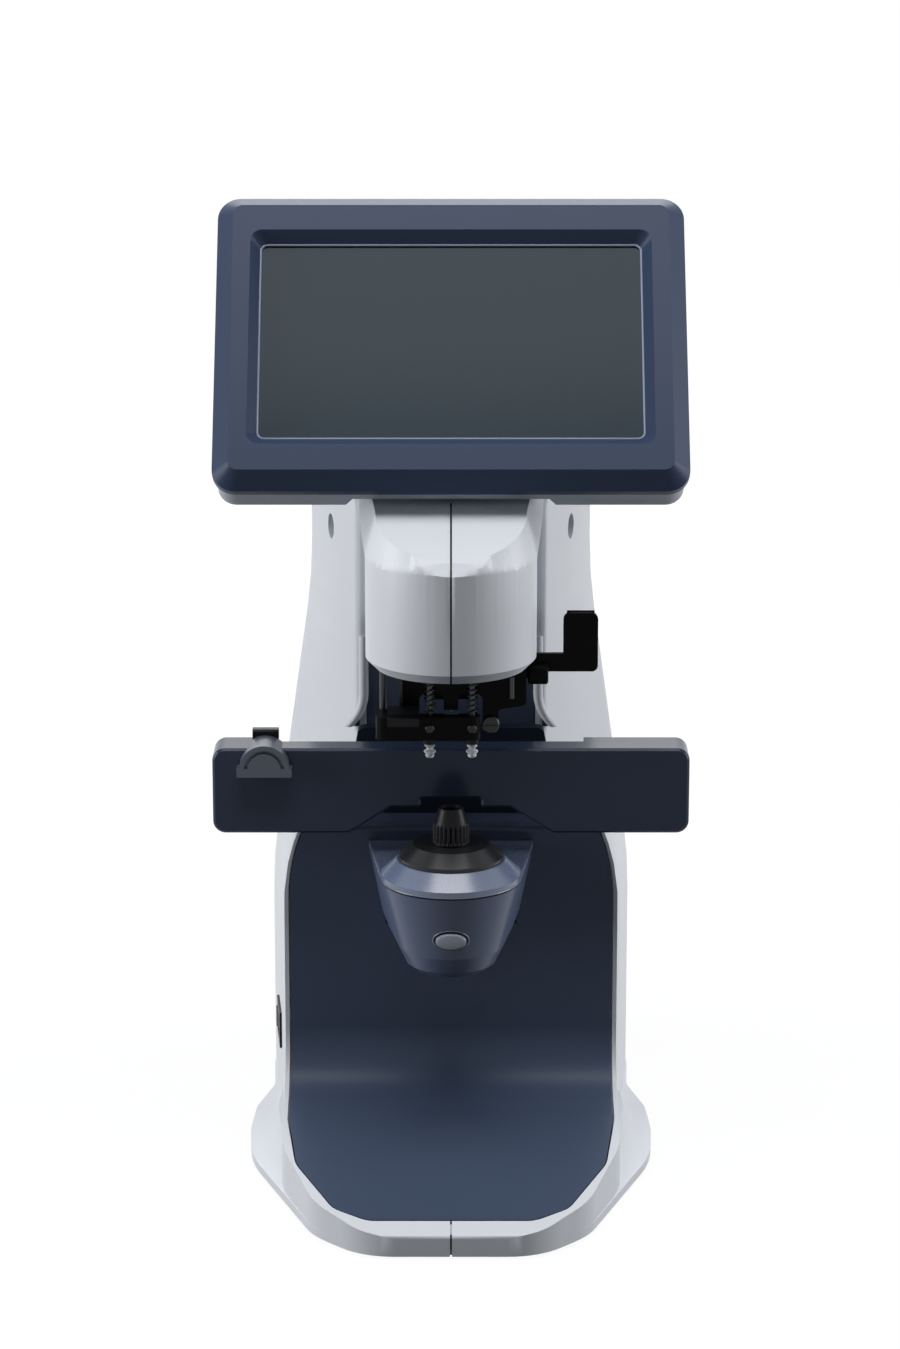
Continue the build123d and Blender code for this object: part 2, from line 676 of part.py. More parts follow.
def make_switch_frame():
    """Frame of the power rocker, let into the left side, with holes for its two trunnions."""
    long, tall = SWITCH_LONG / 2, SWITCH_TALL / 2
    frame = block(-1.0, -0.01, -long - 1.2, long + 1.2, -tall - 1.2, tall + 1.2)
    frame += block(-1.0, 14, -long + SEAT, long - SEAT, -tall + SEAT, tall - SEAT)
    frame -= block(-2, 10, -long + 2, long - 2, -tall + 2, tall - 2)
    frame -= upright(TRUNNION_RADIUS + RUN_FIT, -tall + 0.6, tall - 0.6, TRUNNION_DEPTH, 0)
    return switch_place() * frame


def make_rocker():
    """Power rocker: a cap with a shallow dished face on two trunnions along Z."""
    long, tall = SWITCH_LONG / 2 - 2.9, SWITCH_TALL / 2 - 2.3
    dish = [(-long, 5.5), (-long, 0.4), (0, 1.6), (long, -0.6), (long, 5.5), (0, 7.0)]
    face = outline(dish, [0.8, 0.6, 4, 0.6, 0.8, 3])
    plane = Plane(origin=(-1.2, 0, -tall), x_dir=(0, 1, 0), z_dir=(0, 0, -1))
    rocker = extrude(plane * face, amount=-2 * tall)
    rocker += upright(TRUNNION_RADIUS, -SWITCH_TALL / 2 + 0.8, SWITCH_TALL / 2 - 0.8, TRUNNION_DEPTH, 0)
    return switch_place() * rocker


def stage_plan(radius, root_half):
    """Stage seen from above: an arc round the optical axis, with flanks that reach the panel."""
    reach = PANEL_FACE - SEAT - AXIS_Y
    turn = acos(radius / hypot(root_half, reach)) - atan2(reach, root_half)
    x = radius * cos(turn)
    y = AXIS_Y - radius * sin(turn)
    back = AXIS_Y + reach
    arc = ThreePointArc((-x, y), (0, AXIS_Y - radius), (x, y))
    flanks = Polyline((x, y), (root_half, back), (-root_half, back), (-x, y))
    return make_face([arc, flanks])


def bowl_shape(by):
    """Bowl of the stage, drawn in by a wall, with its rounded floor."""
    sections = []
    for height, inset in BOWL_LEVELS:
        radius = STAGE_RADIUS - inset - by
        root = STAGE_ROOT_HALF - inset * 0.8 - by
        sections.append(Pos(0, 0, height + by) * stage_plan(radius, root))
    return loft(sections, ruled=True)


def make_stage_bowl():
    """Hollow bowl under the collar, open to the body and at the read button."""
    bowl = bowl_shape(0)
    hollow = bowl_shape(BOWL_WALL) + block(-18, 18, -30, PANEL_FACE, STAGE_MOUTH_LOW, 150)
    hollow += block(-26, 26, -30, PANEL_FACE, STAGE_MOUTH_LOW + 8, 150)
    slot = front_prism(Pos(0, BUTTON_HEIGHT) * SlotOverall(BUTTON_WIDE + 2 * SEAT, BUTTON_TALL + 2 * SEAT),
                       AXIS_Y - STAGE_RADIUS, AXIS_Y - 14)
    return bowl - hollow - slot


def make_stage_collar():
    """Grey collar on the bowl: an upright band and a cone up to the disc."""
    band = plan_prism(stage_plan(STAGE_RADIUS, STAGE_ROOT_HALF), STAGE_SEAM + SEAT, STAGE_BAND)
    cone = revolve(make_face(Polyline(
        (0, STAGE_BAND), (STAGE_RADIUS, STAGE_BAND), (STAGE_RING, STAGE_RING_TOP),
        (0, STAGE_RING_TOP), (0, STAGE_BAND))).rotate(Axis.X, 90), Axis.Z)
    collar = band + Pos(0, AXIS_Y, 0) * cone
    return collar - upright(DISC_SPIGOT + SEAT, STAGE_SEAM - 1, DISC_LOW + 1, 0, AXIS_Y)


def ring_profile(points):
    """Solid of revolution about the optical axis, from its (radius, height) points."""
    face = make_face(Polyline(*[(r, 0, z) for r, z in points], close=True))
    return Pos(0, AXIS_Y, 0) * revolve(face, Axis.Z)


def make_stage_disc():
    """Black conical disc that carries the nosepiece."""
    bore = NOSE_SPIGOT + RUN_FIT
    shoulder = COVER_GLASS_LOW + COVER_GLASS_THICK + SEAT / 2
    pocket = COVER_GLASS_RADIUS + SEAT
    rise = STAGE_RING_TOP + SEAT / 2
    return ring_profile([
        (bore, shoulder), (pocket, shoulder), (pocket, STAGE_SEAM + 2), (DISC_SPIGOT, STAGE_SEAM + 2),
        (DISC_SPIGOT, rise), (DISC_RADIUS, rise), (DISC_RADIUS, DISC_LOW + 1.2),
        (DISC_TOP_RADIUS, DISC_TOP), (bore, DISC_TOP)])


def make_cover_glass():
    """Glass window that keeps dust off the sensor."""
    return upright(COVER_GLASS_RADIUS, COVER_GLASS_LOW, COVER_GLASS_LOW + COVER_GLASS_THICK, 0, AXIS_Y)


def make_nosepiece():
    """Nosepiece: a ribbed barrel and a cone up to the ring that the lens lies on."""
    foot = DISC_TOP + 0.02
    body = ring_profile([
        (NOSE_BORE, foot - NOSE_SPIGOT_DEPTH), (NOSE_SPIGOT, foot - NOSE_SPIGOT_DEPTH),
        (NOSE_SPIGOT, foot), (NOSE_RADIUS, foot), (NOSE_RADIUS, NOSE_SHOULDER),
        (NOSE_TIP_RADIUS, NOSE_TOP - 1.6), (NOSE_TIP_RADIUS, NOSE_TOP - 0.4),
        (NOSE_TIP_RADIUS - 0.4, NOSE_TOP), (NOSE_BORE, NOSE_TOP)])
    for rib in range(NOSE_RIBS):
        turn = 2 * pi * rib / NOSE_RIBS
        x, y = NOSE_RADIUS * cos(turn), AXIS_Y + NOSE_RADIUS * sin(turn)
        body += Pos(x, y, (foot + 0.8 + NOSE_SHOULDER - 1) / 2) * Rot(0, 0, 360 * rib / NOSE_RIBS) * Box(
            2 * NOSE_RIB_RADIUS, 2 * NOSE_RIB_RADIUS, NOSE_SHOULDER - 1 - foot - 0.8)
    return body


def make_read_button():
    """Oval read button with a flange behind the bowl's wall."""
    cap = front_prism(Pos(0, BUTTON_HEIGHT) * SlotOverall(BUTTON_WIDE, BUTTON_TALL),
                      BUTTON_FACE, BUTTON_FLANGE_FACE)
    cap = chamfer(cap.faces().sort_by(Axis.Y)[0].edges(), 0.5)
    flange = front_prism(Pos(0, BUTTON_HEIGHT) * SlotOverall(BUTTON_WIDE + 2.4, BUTTON_TALL + 2.4),
                         BUTTON_FLANGE_FACE, BUTTON_FLANGE_FACE + 1.2)
    return cap + flange


def make_button_board():
    """Small board with the switch that the read button presses, on top of the lower arm."""
    face = BUTTON_FLANGE_FACE + 1.2 + BUTTON_TRAVEL + SEAT
    board = block(-7, 7, face + 1.2, face + 2.4, LOWER_ARM_TOP, BUTTON_HEIGHT + 5)
    return board + block(-2.5, 2.5, face, face + 1.2, BUTTON_HEIGHT - 2.5, BUTTON_HEIGHT + 2.5)


def table_front():
    """Lens table seen from the front, with the stepped notch over the stage."""
    right = TABLE_NOTCH[::-1] + [(TABLE_HALF, TABLE_LOW), (TABLE_HALF, TABLE_TOP)]
    radii_right = [1.2, 1.2, 2.0, 3.0, TABLE_CORNER, TABLE_CORNER]
    return outline(right + [(-x, z) for x, z in reversed(right)], radii_right + radii_right[::-1])


def make_table_bar():
    """Lens table: a long bar with a bed for the slider's rail behind."""
    bar = front_prism(table_front(), TABLE_FACE, TABLE_FACE + TABLE_DEPTH)
    bar = chamfer(bar.faces().sort_by(Axis.Y)[0].edges(), TABLE_EDGE)
    back = TABLE_FACE + TABLE_DEPTH
    bar -= block(RAIL_BED_LEFT, RAIL_BED_RIGHT, back - RAIL_BED_DEPTH, back + 1,
                 TABLE_LOW - 1, TABLE_TOP + 1)
    for x in (-ROD_SPREAD, ROD_SPREAD):
        bar -= lengthwise(ROD_RADIUS + SEAT / 2, back - RAIL_BED_DEPTH - 7, back, x, ROD_HEIGHT)
    return bar


def make_table_rail():
    """Steel rail of the slider, on the back of the table."""
    face = TABLE_FACE + TABLE_DEPTH - RAIL_BED_DEPTH
    rail = block(RAIL_BED_LEFT + 1.5, RAIL_BED_RIGHT - 1.5, face, face + RAIL_THICK,
                 RAIL_LOW, RAIL_LOW + RAIL_TALL)
    return chamfer(rail.edges().filter_by(Axis.X), 0.3)


def make_table_rods():
    """Two steel rods that carry the table through the throat panel."""
    start = TABLE_FACE + TABLE_DEPTH - RAIL_BED_DEPTH - 6.9
    rods = None
    for x in (-ROD_SPREAD, ROD_SPREAD):
        rod = lengthwise(ROD_RADIUS, start, ROD_BACK, x, ROD_HEIGHT)
        rods = rod if rods is None else rods + rod
    return rods


def make_rod_sleeves():
    """Two sleeves in the frame for the table's rods."""
    sleeves = None
    for x in (-ROD_SPREAD, ROD_SPREAD):
        sleeve = lengthwise(SLEEVE_RADIUS, SLEEVE_START, SLEEVE_END, x, ROD_HEIGHT)
        sleeve -= lengthwise(ROD_RADIUS + RUN_FIT, SLEEVE_START - 1, SLEEVE_END + 1, x, ROD_HEIGHT)
        sleeves = sleeve if sleeves is None else sleeves + sleeve
    return sleeves


def make_slider_arch():
    """Half-round nose stop that rides in front of and over the lens table."""
    low = SLIDER_BAR_LOW
    disc = plane_disc(SLIDER_RADIUS) & Pos(SLIDER_X, low + 20) * Rectangle(60, 40)
    bar = Pos(SLIDER_X, low + SLIDER_BAR_TALL / 2) * Rectangle(2 * SLIDER_BAR_HALF, SLIDER_BAR_TALL)
    front = front_prism(disc + bar, SLIDER_FRONT, TABLE_FACE - SEAT)
    roof = front_prism(plane_disc(SLIDER_RADIUS) & Pos(SLIDER_X, TABLE_TOP + SEAT + 10) * Rectangle(60, 20),
                       TABLE_FACE - SEAT, SLIDER_BACK)
    ring = plane_disc(SLIDER_DISC + SLIDER_GROOVE) - plane_disc(SLIDER_DISC)
    ring = ring & Pos(SLIDER_X, low + SLIDER_BAR_TALL + 20) * Rectangle(60, 40)
    groove = front_prism(ring, SLIDER_FRONT - 1, SLIDER_FRONT + 1.6)
    return front + roof - groove


def plane_disc(radius):
    """Disc about the slider's centre, as seen from the front."""
    return Pos(SLIDER_X, SLIDER_CENTRE) * Circle(radius)


def make_slider_clip():
    """Clip that holds the slider on its rail behind the table."""
    back = TABLE_FACE + TABLE_DEPTH - RAIL_BED_DEPTH + RAIL_THICK + SEAT
    head = block(SLIDER_X - CLIP_HALF, SLIDER_X + CLIP_HALF, SLIDER_BACK, CLIP_BACK,
                 TABLE_TOP + SEAT, CLIP_TOP)
    head = chamfer(head.edges().filter_by(Axis.X).sort_by(Axis.Z)[-2:], 0.8)
    x = RAIL_BED_LEFT + SEAT + CLIP_TONGUE_HALF
    tongue = block(x - CLIP_TONGUE_HALF, x + 2 * CLIP_TONGUE_HALF, back, CLIP_BACK, RAIL_LOW, TABLE_TOP + 1)
    return head + tongue


def make_holder_bar():
    """Lens holder's bar, bent back at its left end to the rod."""
    back = HOLDER_FACE + HOLDER_THICK
    reach = HOLDER_ROD_Y + 3.2
    plan = outline([
        (HOLDER_RIGHT, HOLDER_FACE), (HOLDER_RIGHT, back), (HOLDER_LEFT + 4.6, back),
        (HOLDER_LEFT + 4.6, reach), (HOLDER_LEFT - 1.4, reach), (HOLDER_LEFT - 1.4, HOLDER_FACE)],
        [3.2, 3.2, 1.5, 1.5, 1.5, 4.0])
    bar = plan_prism(plan, HOLDER_LOW, HOLDER_LOW + HOLDER_TALL)
    for x in (-TIP_SPREAD, TIP_SPREAD):
        bar -= upright(PIN_RADIUS + SEAT / 2, HOLDER_LOW - 1, HOLDER_LOW + HOLDER_TALL + 1, x, AXIS_Y)
        bar -= lengthwise(HOLDER_SCREW_RADIUS + 0.1, HOLDER_FACE - 1, HOLDER_FACE + 0.9, x, SCREW_LEVEL)
    bar -= upright(HOLDER_ROD_RADIUS + 0.02, HOLDER_LOW + 1, HOLDER_LOW + HOLDER_TALL + 1,
                   HOLDER_ROD_X, HOLDER_ROD_Y)
    bar -= block(-PLATE_STEM, PLATE_STEM, back - 1.6, back + 1, HOLDER_LOW + 3,
                 HOLDER_LOW + HOLDER_TALL + 1)
    return bar


def make_holder_rod():
    """Steel rod that the lens holder slides on, up into the head."""
    rod = upright(HOLDER_ROD_RADIUS, HOLDER_LOW + 1, HOLDER_ROD_TOP, HOLDER_ROD_X, HOLDER_ROD_Y)
    return chamfer(rod.edges().sort_by(Axis.Z)[-1], 0.3)


def make_holder_tab():
    """Thumb tab on top of the bar, with a turned-up lip."""
    low = HOLDER_LOW + HOLDER_TALL
    back = HOLDER_FACE + HOLDER_THICK
    side = outline([(TAB_FRONT, low - 1.2), (TAB_FRONT + 2.2, low - 1.2), (HOLDER_FACE - 0.6, low),
                    (back - 0.4, low), (back - 0.4, low + TAB_THICK), (TAB_FRONT + 3, low + TAB_THICK),
                    (TAB_FRONT, low + TAB_THICK - 1)], [0.6, 1, 0, 0, 1.2, 2, 1])
    tab = extrude(Plane.YZ * side, amount=TAB_RIGHT - TAB_LEFT)
    return Pos(TAB_LEFT, 0, 0) * tab


def make_tips():
    """Two clear soft tips with domed ends, which hold the lens down."""
    tips = None
    for x in (-TIP_SPREAD, TIP_SPREAD):
        tip = upright(TIP_RADIUS, TIP_LOW + TIP_RADIUS * 0.6, TIP_LOW + TIP_TALL, x, AXIS_Y)
        tip += Pos(x, AXIS_Y, TIP_LOW + TIP_RADIUS) * Sphere(TIP_RADIUS)
        tip &= block(x - 4, x + 4, AXIS_Y - 4, AXIS_Y + 4, TIP_LOW + 0.2, TIP_LOW + TIP_TALL)
        tips = tip if tips is None else tips + tip
    return tips


def make_tip_collars():
    """Black collars between the tips and the bar."""
    collars = None
    for x in (-TIP_SPREAD, TIP_SPREAD):
        collar = upright(COLLAR_RADIUS, TIP_LOW + TIP_TALL, HOLDER_LOW, x, AXIS_Y)
        collar -= upright(PIN_RADIUS + 0.02, TIP_LOW + TIP_TALL + 0.5, HOLDER_LOW + 1, x, AXIS_Y)
        collars = collar if collars is None else collars + collar
    return collars


def make_tip_pins():
    """Steel pins that the tips sit on, up through the bar and the springs."""
    pins = None
    for x in (-TIP_SPREAD, TIP_SPREAD):
        pin = upright(PIN_RADIUS, TIP_LOW + TIP_TALL + 0.5, PIN_TOP, x, AXIS_Y)
        pin += upright(SPRING_RADIUS, PIN_TOP, PIN_TOP + 0.8, x, AXIS_Y)
        pins = pin if pins is None else pins + pin
    return pins


def helix_point(turn, radius, pitch):
    """Point of a helix and its direction, a number of turns up from its start."""
    angle = 2 * pi * turn
    point = Vector(radius * cos(angle), radius * sin(angle), pitch * turn)
    direction = Vector(-radius * sin(angle), radius * cos(angle), pitch / (2 * pi)).normalized()
    return point, direction


def smooth_pair(start, end):
    """Two arcs that join two points and leave and reach them in their directions."""
    (p0, t0), (p1, t1) = start, end
    span = p1 - p0
    both = t0 + t1
    bend = 2 * (1 - t0.dot(t1))
    reach = (-span.dot(both) + (span.dot(both) ** 2 + bend * span.dot(span)) ** 0.5) / bend
    left = p0 + t0 * reach
    right = p1 - t1 * reach
    middle = (left + right) * 0.5
    return [TangentArc(p0, middle, tangent=t0), TangentArc(middle, p1, tangent=right - left)]


def coil(radius, wire, turns, pitch):
    """One unbroken wire wound as a spring from Z 0 upwards."""
    stops = [helix_point(step / 4, radius, pitch) for step in range(turns * 4 + 1)]
    arcs = [arc for start, end in zip(stops, stops[1:]) for arc in smooth_pair(start, end)]
    point, direction = stops[0]
    section = Plane(origin=point, z_dir=direction) * RegularPolygon(wire, 6)
    return sweep(section, path=Wire([arc.edge() for arc in arcs]))


def make_tip_springs():
    """Small springs round the pins: each one unbroken wire, its least gap to itself printed."""
    low = HOLDER_LOW + HOLDER_TALL + SPRING_WIRE + 0.05
    high = PIN_TOP - SPRING_WIRE - 0.05
    pitch = (high - low) / SPRING_TURNS
    points = [helix_point(step / 24, SPRING_RADIUS, pitch)[0] for step in range(24 * SPRING_TURNS + 1)]
    pairs = ((i, j) for i in range(len(points)) for j in range(i + 12, len(points)))
    apart = min((points[i] - points[j]).length for i, j in pairs)
    print("least gap of the springs to themselves, mm:", round(apart - 2 * SPRING_WIRE, 2))
    springs = None
    for x in (-TIP_SPREAD, TIP_SPREAD):
        spring = Pos(x, AXIS_Y, low) * coil(SPRING_RADIUS, SPRING_WIRE, SPRING_TURNS, pitch)
        springs = spring if springs is None else springs + spring
    return springs


def make_holder_screws():
    """Two round-headed screws in the front of the bar."""
    screws = None
    for x in (-TIP_SPREAD, TIP_SPREAD):
        screw = lengthwise(HOLDER_SCREW_RADIUS, HOLDER_FACE - 0.5, HOLDER_FACE + 0.8, x, SCREW_LEVEL)
        screw = chamfer(screw.edges().sort_by(Axis.Y)[0], 0.35)
        screw -= block(x - 0.25, x + 0.25, HOLDER_FACE - 1, HOLDER_FACE,
                       SCREW_LEVEL - 1.4, SCREW_LEVEL + 1.4)
        screws = screw if screws is None else screws + screw
    return screws


def make_holder_sleeve():
    """Sleeve inside the head that the holder's rod slides in."""
    low = HEAD_BOTTOM + HEAD_LOW_CHAMFER + WALL + SEAT
    sleeve = upright(GUIDE_RADIUS, low, ARM_LOW, HOLDER_ROD_X, HOLDER_ROD_Y)
    bore = upright(HOLDER_ROD_RADIUS + RUN_FIT, HEAD_BOTTOM, ARM_LOW + 1, HOLDER_ROD_X, HOLDER_ROD_Y)
    return sleeve - bore


def make_marker_plate():
    """Black plate under the head with two windows, a centre stem, a leg and two hangers."""
    face = outline([
        (PLATE_LEFT, PLATE_TOP), (PLATE_LEFT, PLATE_LOW), (LEG_X - LEG_HALF, PLATE_LOW),
        (LEG_X - LEG_HALF, LEG_LOW), (LEG_X + LEG_HALF, LEG_LOW), (LEG_X + LEG_HALF, PLATE_LOW),
        (PLATE_RIGHT, PLATE_LOW + 2), (PLATE_RIGHT, PLATE_TOP)],
        [0, 1, 1, 2.8, 2.8, 1, 2, 0])
    for side in (-1, 1):
        inner, outer = side * PLATE_STEM, side * WINDOW_OUTER * 0.96
        face -= outline([(inner, PLATE_LOW - 1), (outer, PLATE_LOW - 1), (outer, WINDOW_TOP),
                         (inner, WINDOW_TOP)], [0, 0, 3, 3])
    plate = front_prism(face, PLATE_FACE, PLATE_FACE + PLATE_THICK)
    for left, right in ((PLATE_LEFT, PLATE_LEFT + 3), (ARM_HALF - 6, ARM_HALF - 0.5)):
        plate += block(left, right, PLATE_FACE, PLATE_FACE + PLATE_THICK, PLATE_TOP, ARM_LOW)
    ear = outline([(PLATE_FACE, PLATE_TOP), (PLATE_FACE, SHAFT_HEIGHT - 6), (SHAFT_Y + 6, SHAFT_HEIGHT - 6),
                   (SHAFT_Y + 6, PLATE_TOP)], [0, 3, 5.5, 3])
    cheek = extrude(Plane.YZ * ear, amount=EAR_SIDE)
    plate += Pos(PLATE_RIGHT - EAR_SIDE, 0, 0) * cheek
    plate -= crosswise(SHAFT_RADIUS + RUN_FIT, PLATE_RIGHT - 10, PLATE_RIGHT + 1, SHAFT_Y, SHAFT_HEIGHT)
    for x in (-MARKER_SCREW_SPREAD, MARKER_SCREW_SPREAD):
        plate -= lengthwise(MARKER_SCREW_RADIUS * 0.6, PLATE_FACE - 1, PLATE_FACE + 1.2, x,
                            MARKER_SCREW_HEIGHT)
    return plate


def make_marker_screws():
    """Two socket screws in the plate and the large round screw on its leg."""
    screws = None
    for x in (-MARKER_SCREW_SPREAD, MARKER_SCREW_SPREAD):
        head = lengthwise(MARKER_SCREW_RADIUS, PLATE_FACE - 1.2, PLATE_FACE, x, MARKER_SCREW_HEIGHT)
        head -= lengthwise(0.9, PLATE_FACE - 2, PLATE_FACE - 0.4, x, MARKER_SCREW_HEIGHT)
        head += lengthwise(MARKER_SCREW_RADIUS * 0.6 - 0.02, PLATE_FACE, PLATE_FACE + 1.1, x,
                           MARKER_SCREW_HEIGHT)
        screws = head if screws is None else screws + head
    big = lengthwise(LEG_HALF + 0.5, PLATE_FACE - 1.8, PLATE_FACE, LEG_X, LEG_LOW + 4)
    big = chamfer(big.edges().sort_by(Axis.Y)[0], 0.5)
    slot = block(LEG_X - 2.4, LEG_X + 2.4, PLATE_FACE - 3, PLATE_FACE - 1.2, LEG_LOW + 3.6, LEG_LOW + 4.4)
    return screws + (big - slot)


def make_side_strip():
    """Bright bent strip on the left edge of the plate."""
    face = outline([(PLATE_LEFT - 1.2, PLATE_TOP), (PLATE_LEFT - 1.2, PLATE_LOW),
                    (PLATE_LEFT - 0.1, PLATE_LOW), (PLATE_LEFT - 0.1, PLATE_TOP)], [0, 0.3, 0.3, 0])
    return front_prism(face, PLATE_FACE - 1, PLATE_FACE + PLATE_THICK)


def make_stop_pin():
    """Bright pin on the plate that stops the lever."""
    pin = upright(1.1, PLATE_LOW + 5, PLATE_TOP - 5, 25, PLATE_FACE - 1.1)
    return chamfer(pin.edges(), 0.25)


def make_lever():
    """Marking lever: a bent sheet arm with a paddle for the fingers."""
    arm = block(KNOB_START + 2.5, PADDLE_LEFT + 1, SHAFT_Y - LEVER_THICK / 2, SHAFT_Y + LEVER_THICK / 2,
                LEVER_ARM_LOW, LEVER_ARM_LOW + LEVER_ARM_TALL)
    face = outline([(PADDLE_LEFT, LEVER_ARM_LOW), (PADDLE_RIGHT, LEVER_ARM_LOW), (PADDLE_RIGHT, PADDLE_TOP),
                    (PADDLE_LEFT, PADDLE_TOP)], [0.5, 2.5, 3, 3])
    paddle = front_prism(face, SHAFT_Y - LEVER_THICK / 2, SHAFT_Y + LEVER_THICK / 2)
    fold = crosswise(LEVER_THICK * 0.8, PADDLE_LEFT + 1.5, PADDLE_RIGHT - 1.5, SHAFT_Y + LEVER_THICK * 0.6,
                     PADDLE_TOP - 1.2)
    hole = crosswise(KNOB_RADIUS + 0.02, KNOB_START, KNOB_END, SHAFT_Y, SHAFT_HEIGHT)
    return (arm + paddle + fold) - hole


def make_lever_shaft():
    """Shaft of the lever through the plate's cheek, with its round hub."""
    hub = crosswise(KNOB_RADIUS, KNOB_START, KNOB_END, SHAFT_Y, SHAFT_HEIGHT)
    hub = chamfer(hub.edges(), 0.6)
    return hub + crosswise(SHAFT_RADIUS, PLATE_RIGHT - 9, KNOB_START, SHAFT_Y, SHAFT_HEIGHT)


def slanted_rod(radius, start, length):
    """Rod from a point up and back along the carriage's slide."""
    lean = radians(CARRIAGE_SLANT)
    direction = Vector(0, sin(lean), cos(lean))
    return extrude(Plane(origin=start, x_dir=(1, 0, 0), z_dir=direction) * Circle(radius), amount=length)


def make_carriage():
    """Marker carriage: a block on a slanted rod, which brings the three needles down."""
    top = CARRIAGE_LOW + CARRIAGE_TALL
    middle = CARRIAGE_FACE + CARRIAGE_THICK / 2
    body = block(-CARRIAGE_HALF, CARRIAGE_HALF, CARRIAGE_FACE, CARRIAGE_FACE + CARRIAGE_THICK,
                 CARRIAGE_LOW, top)
    body = chamfer(body.edges().filter_by(Axis.X), 0.8)
    body += slanted_rod(CARRIAGE_ROD_RADIUS, (0, middle, top - 2), CARRIAGE_ROD_LENGTH)
    for x in (-NEEDLE_SPREAD, 0, NEEDLE_SPREAD):
        body -= upright(NEEDLE_RADIUS + 0.02, CARRIAGE_LOW - 1, CARRIAGE_LOW + 4, x, middle)
    return body


def make_needles():
    """Three marking needles with pointed ends."""
    middle = CARRIAGE_FACE + CARRIAGE_THICK / 2
    needles = None
    for x in (-NEEDLE_SPREAD, 0, NEEDLE_SPREAD):
        needle = upright(NEEDLE_RADIUS, CARRIAGE_LOW - NEEDLE_LENGTH + 2, CARRIAGE_LOW + 4, x, middle)
        needle += Pos(x, middle, CARRIAGE_LOW - NEEDLE_LENGTH + 1) * Cone(0.2, NEEDLE_RADIUS, 2)
        needles = needle if needles is None else needles + needle
    return needles


def carriage_rod_y(z):
    """Where the carriage's slanted rod passes at a height."""
    start = CARRIAGE_FACE + CARRIAGE_THICK / 2
    return start + (z - CARRIAGE_LOW - CARRIAGE_TALL + 2) * tan(radians(CARRIAGE_SLANT))


def make_carriage_guide():
    """Block inside the head that the carriage's rod slides in."""
    low, high = HEAD_BOTTOM + 5, ARM_LOW
    y = carriage_rod_y((low + high) / 2)
    guide = block(-7, 7, y - 5, y + 9, low, high)
    start = (0, carriage_rod_y(low - 5), low - 5)
    return guide - slanted_rod(CARRIAGE_ROD_RADIUS + RUN_FIT, start, 40)


def make_frame():
    """Cast frame: a post with a foot, the upper arm for the light and the lower arm for the sensor."""
    post = block(-POST_HALF, POST_HALF, POST_FRONT, POST_BACK, PLATE_TOP_Z, ARM_TOP)
    for low, high in ((30, 90), (185, 240)):
        post -= block(-POST_HALF + 7, POST_HALF - 7, POST_FRONT - 1, POST_BACK + 1, low, high)
    foot = block(-40, 40, POST_FRONT - 12, POST_BACK + 16, PLATE_TOP_Z, PLATE_TOP_Z + 4)
    lower = block(-LOWER_ARM_HALF, LOWER_ARM_HALF, AXIS_Y, POST_FRONT, LOWER_ARM_LOW, LOWER_ARM_TOP)
    lower += upright(LOWER_ARM_HALF, LOWER_ARM_LOW, LOWER_ARM_TOP, 0, AXIS_Y)
    tongue_front = BUTTON_FLANGE_FACE + 1.2 + BUTTON_TRAVEL + SEAT + 1.2
    lower += block(-6, 6, tongue_front, AXIS_Y, LOWER_ARM_TOP - 1.8, LOWER_ARM_TOP)
    keel = outline([(4, LOWER_ARM_LOW), (POST_FRONT, LOWER_ARM_LOW - 28), (POST_FRONT, LOWER_ARM_LOW)],
                   [0, 0, 0])
    lower += side_prism(keel, 2)
    upper = block(-ARM_HALF, ARM_HALF, AXIS_Y, POST_BACK, ARM_LOW, ARM_TOP)
    upper += upright(ARM_HALF, ARM_LOW, ARM_TOP, 0, AXIS_Y)
    upper += block(HOLDER_ROD_X - GUIDE_RADIUS, 0, HOLDER_ROD_Y - 6, HOLDER_ROD_Y + 14, ARM_LOW, ARM_TOP)
    for x in (-ARM_HALF + 3, ARM_HALF - 6):
        upper += block(x, x + 3, -18, POST_FRONT, ARM_LOW - 12, ARM_LOW)
    upper -= upright(BARREL_RADIUS + RUN_FIT, ARM_LOW - 1, ARM_TOP + 1, 0, AXIS_Y)
    upper -= upright(HOLDER_ROD_RADIUS + 1, ARM_LOW - 1, ARM_TOP + 1, HOLDER_ROD_X, HOLDER_ROD_Y)
    start = (0, carriage_rod_y(ARM_LOW - 8), ARM_LOW - 8)
    upper -= slanted_rod(CARRIAGE_ROD_RADIUS + 1, start, 22)
    reach = ROD_SPREAD + 9
    cross = block(-reach, reach, SLEEVE_END, SLEEVE_END + 5, ROD_HEIGHT - 9, ROD_HEIGHT + 9)
    cross += block(-12, 12, SLEEVE_END, POST_FRONT, ROD_HEIGHT - 5, ROD_HEIGHT + 5)
    for x in (-ROD_SPREAD, ROD_SPREAD):
        cross -= lengthwise(ROD_RADIUS + 0.5, SLEEVE_END - 1, SLEEVE_END + 6, x, ROD_HEIGHT)
    return post + foot + lower + upper + cross


def make_lens_barrel():
    """Tube in the upper arm that holds the light and the lens, with a collar on the arm."""
    inner = BARREL_RADIUS - BARREL_WALL
    return ring_profile([
        (inner - 1.5, BARREL_LOW), (BARREL_RADIUS, BARREL_LOW), (BARREL_RADIUS, ARM_TOP),
        (BARREL_RADIUS + 2.5, ARM_TOP), (BARREL_RADIUS + 2.5, ARM_TOP + 2), (BARREL_RADIUS, ARM_TOP + 2),
        (BARREL_RADIUS, BARREL_TOP), (inner, BARREL_TOP), (inner, COLLIMATOR_LOW),
        (inner - 1.5, COLLIMATOR_LOW)])


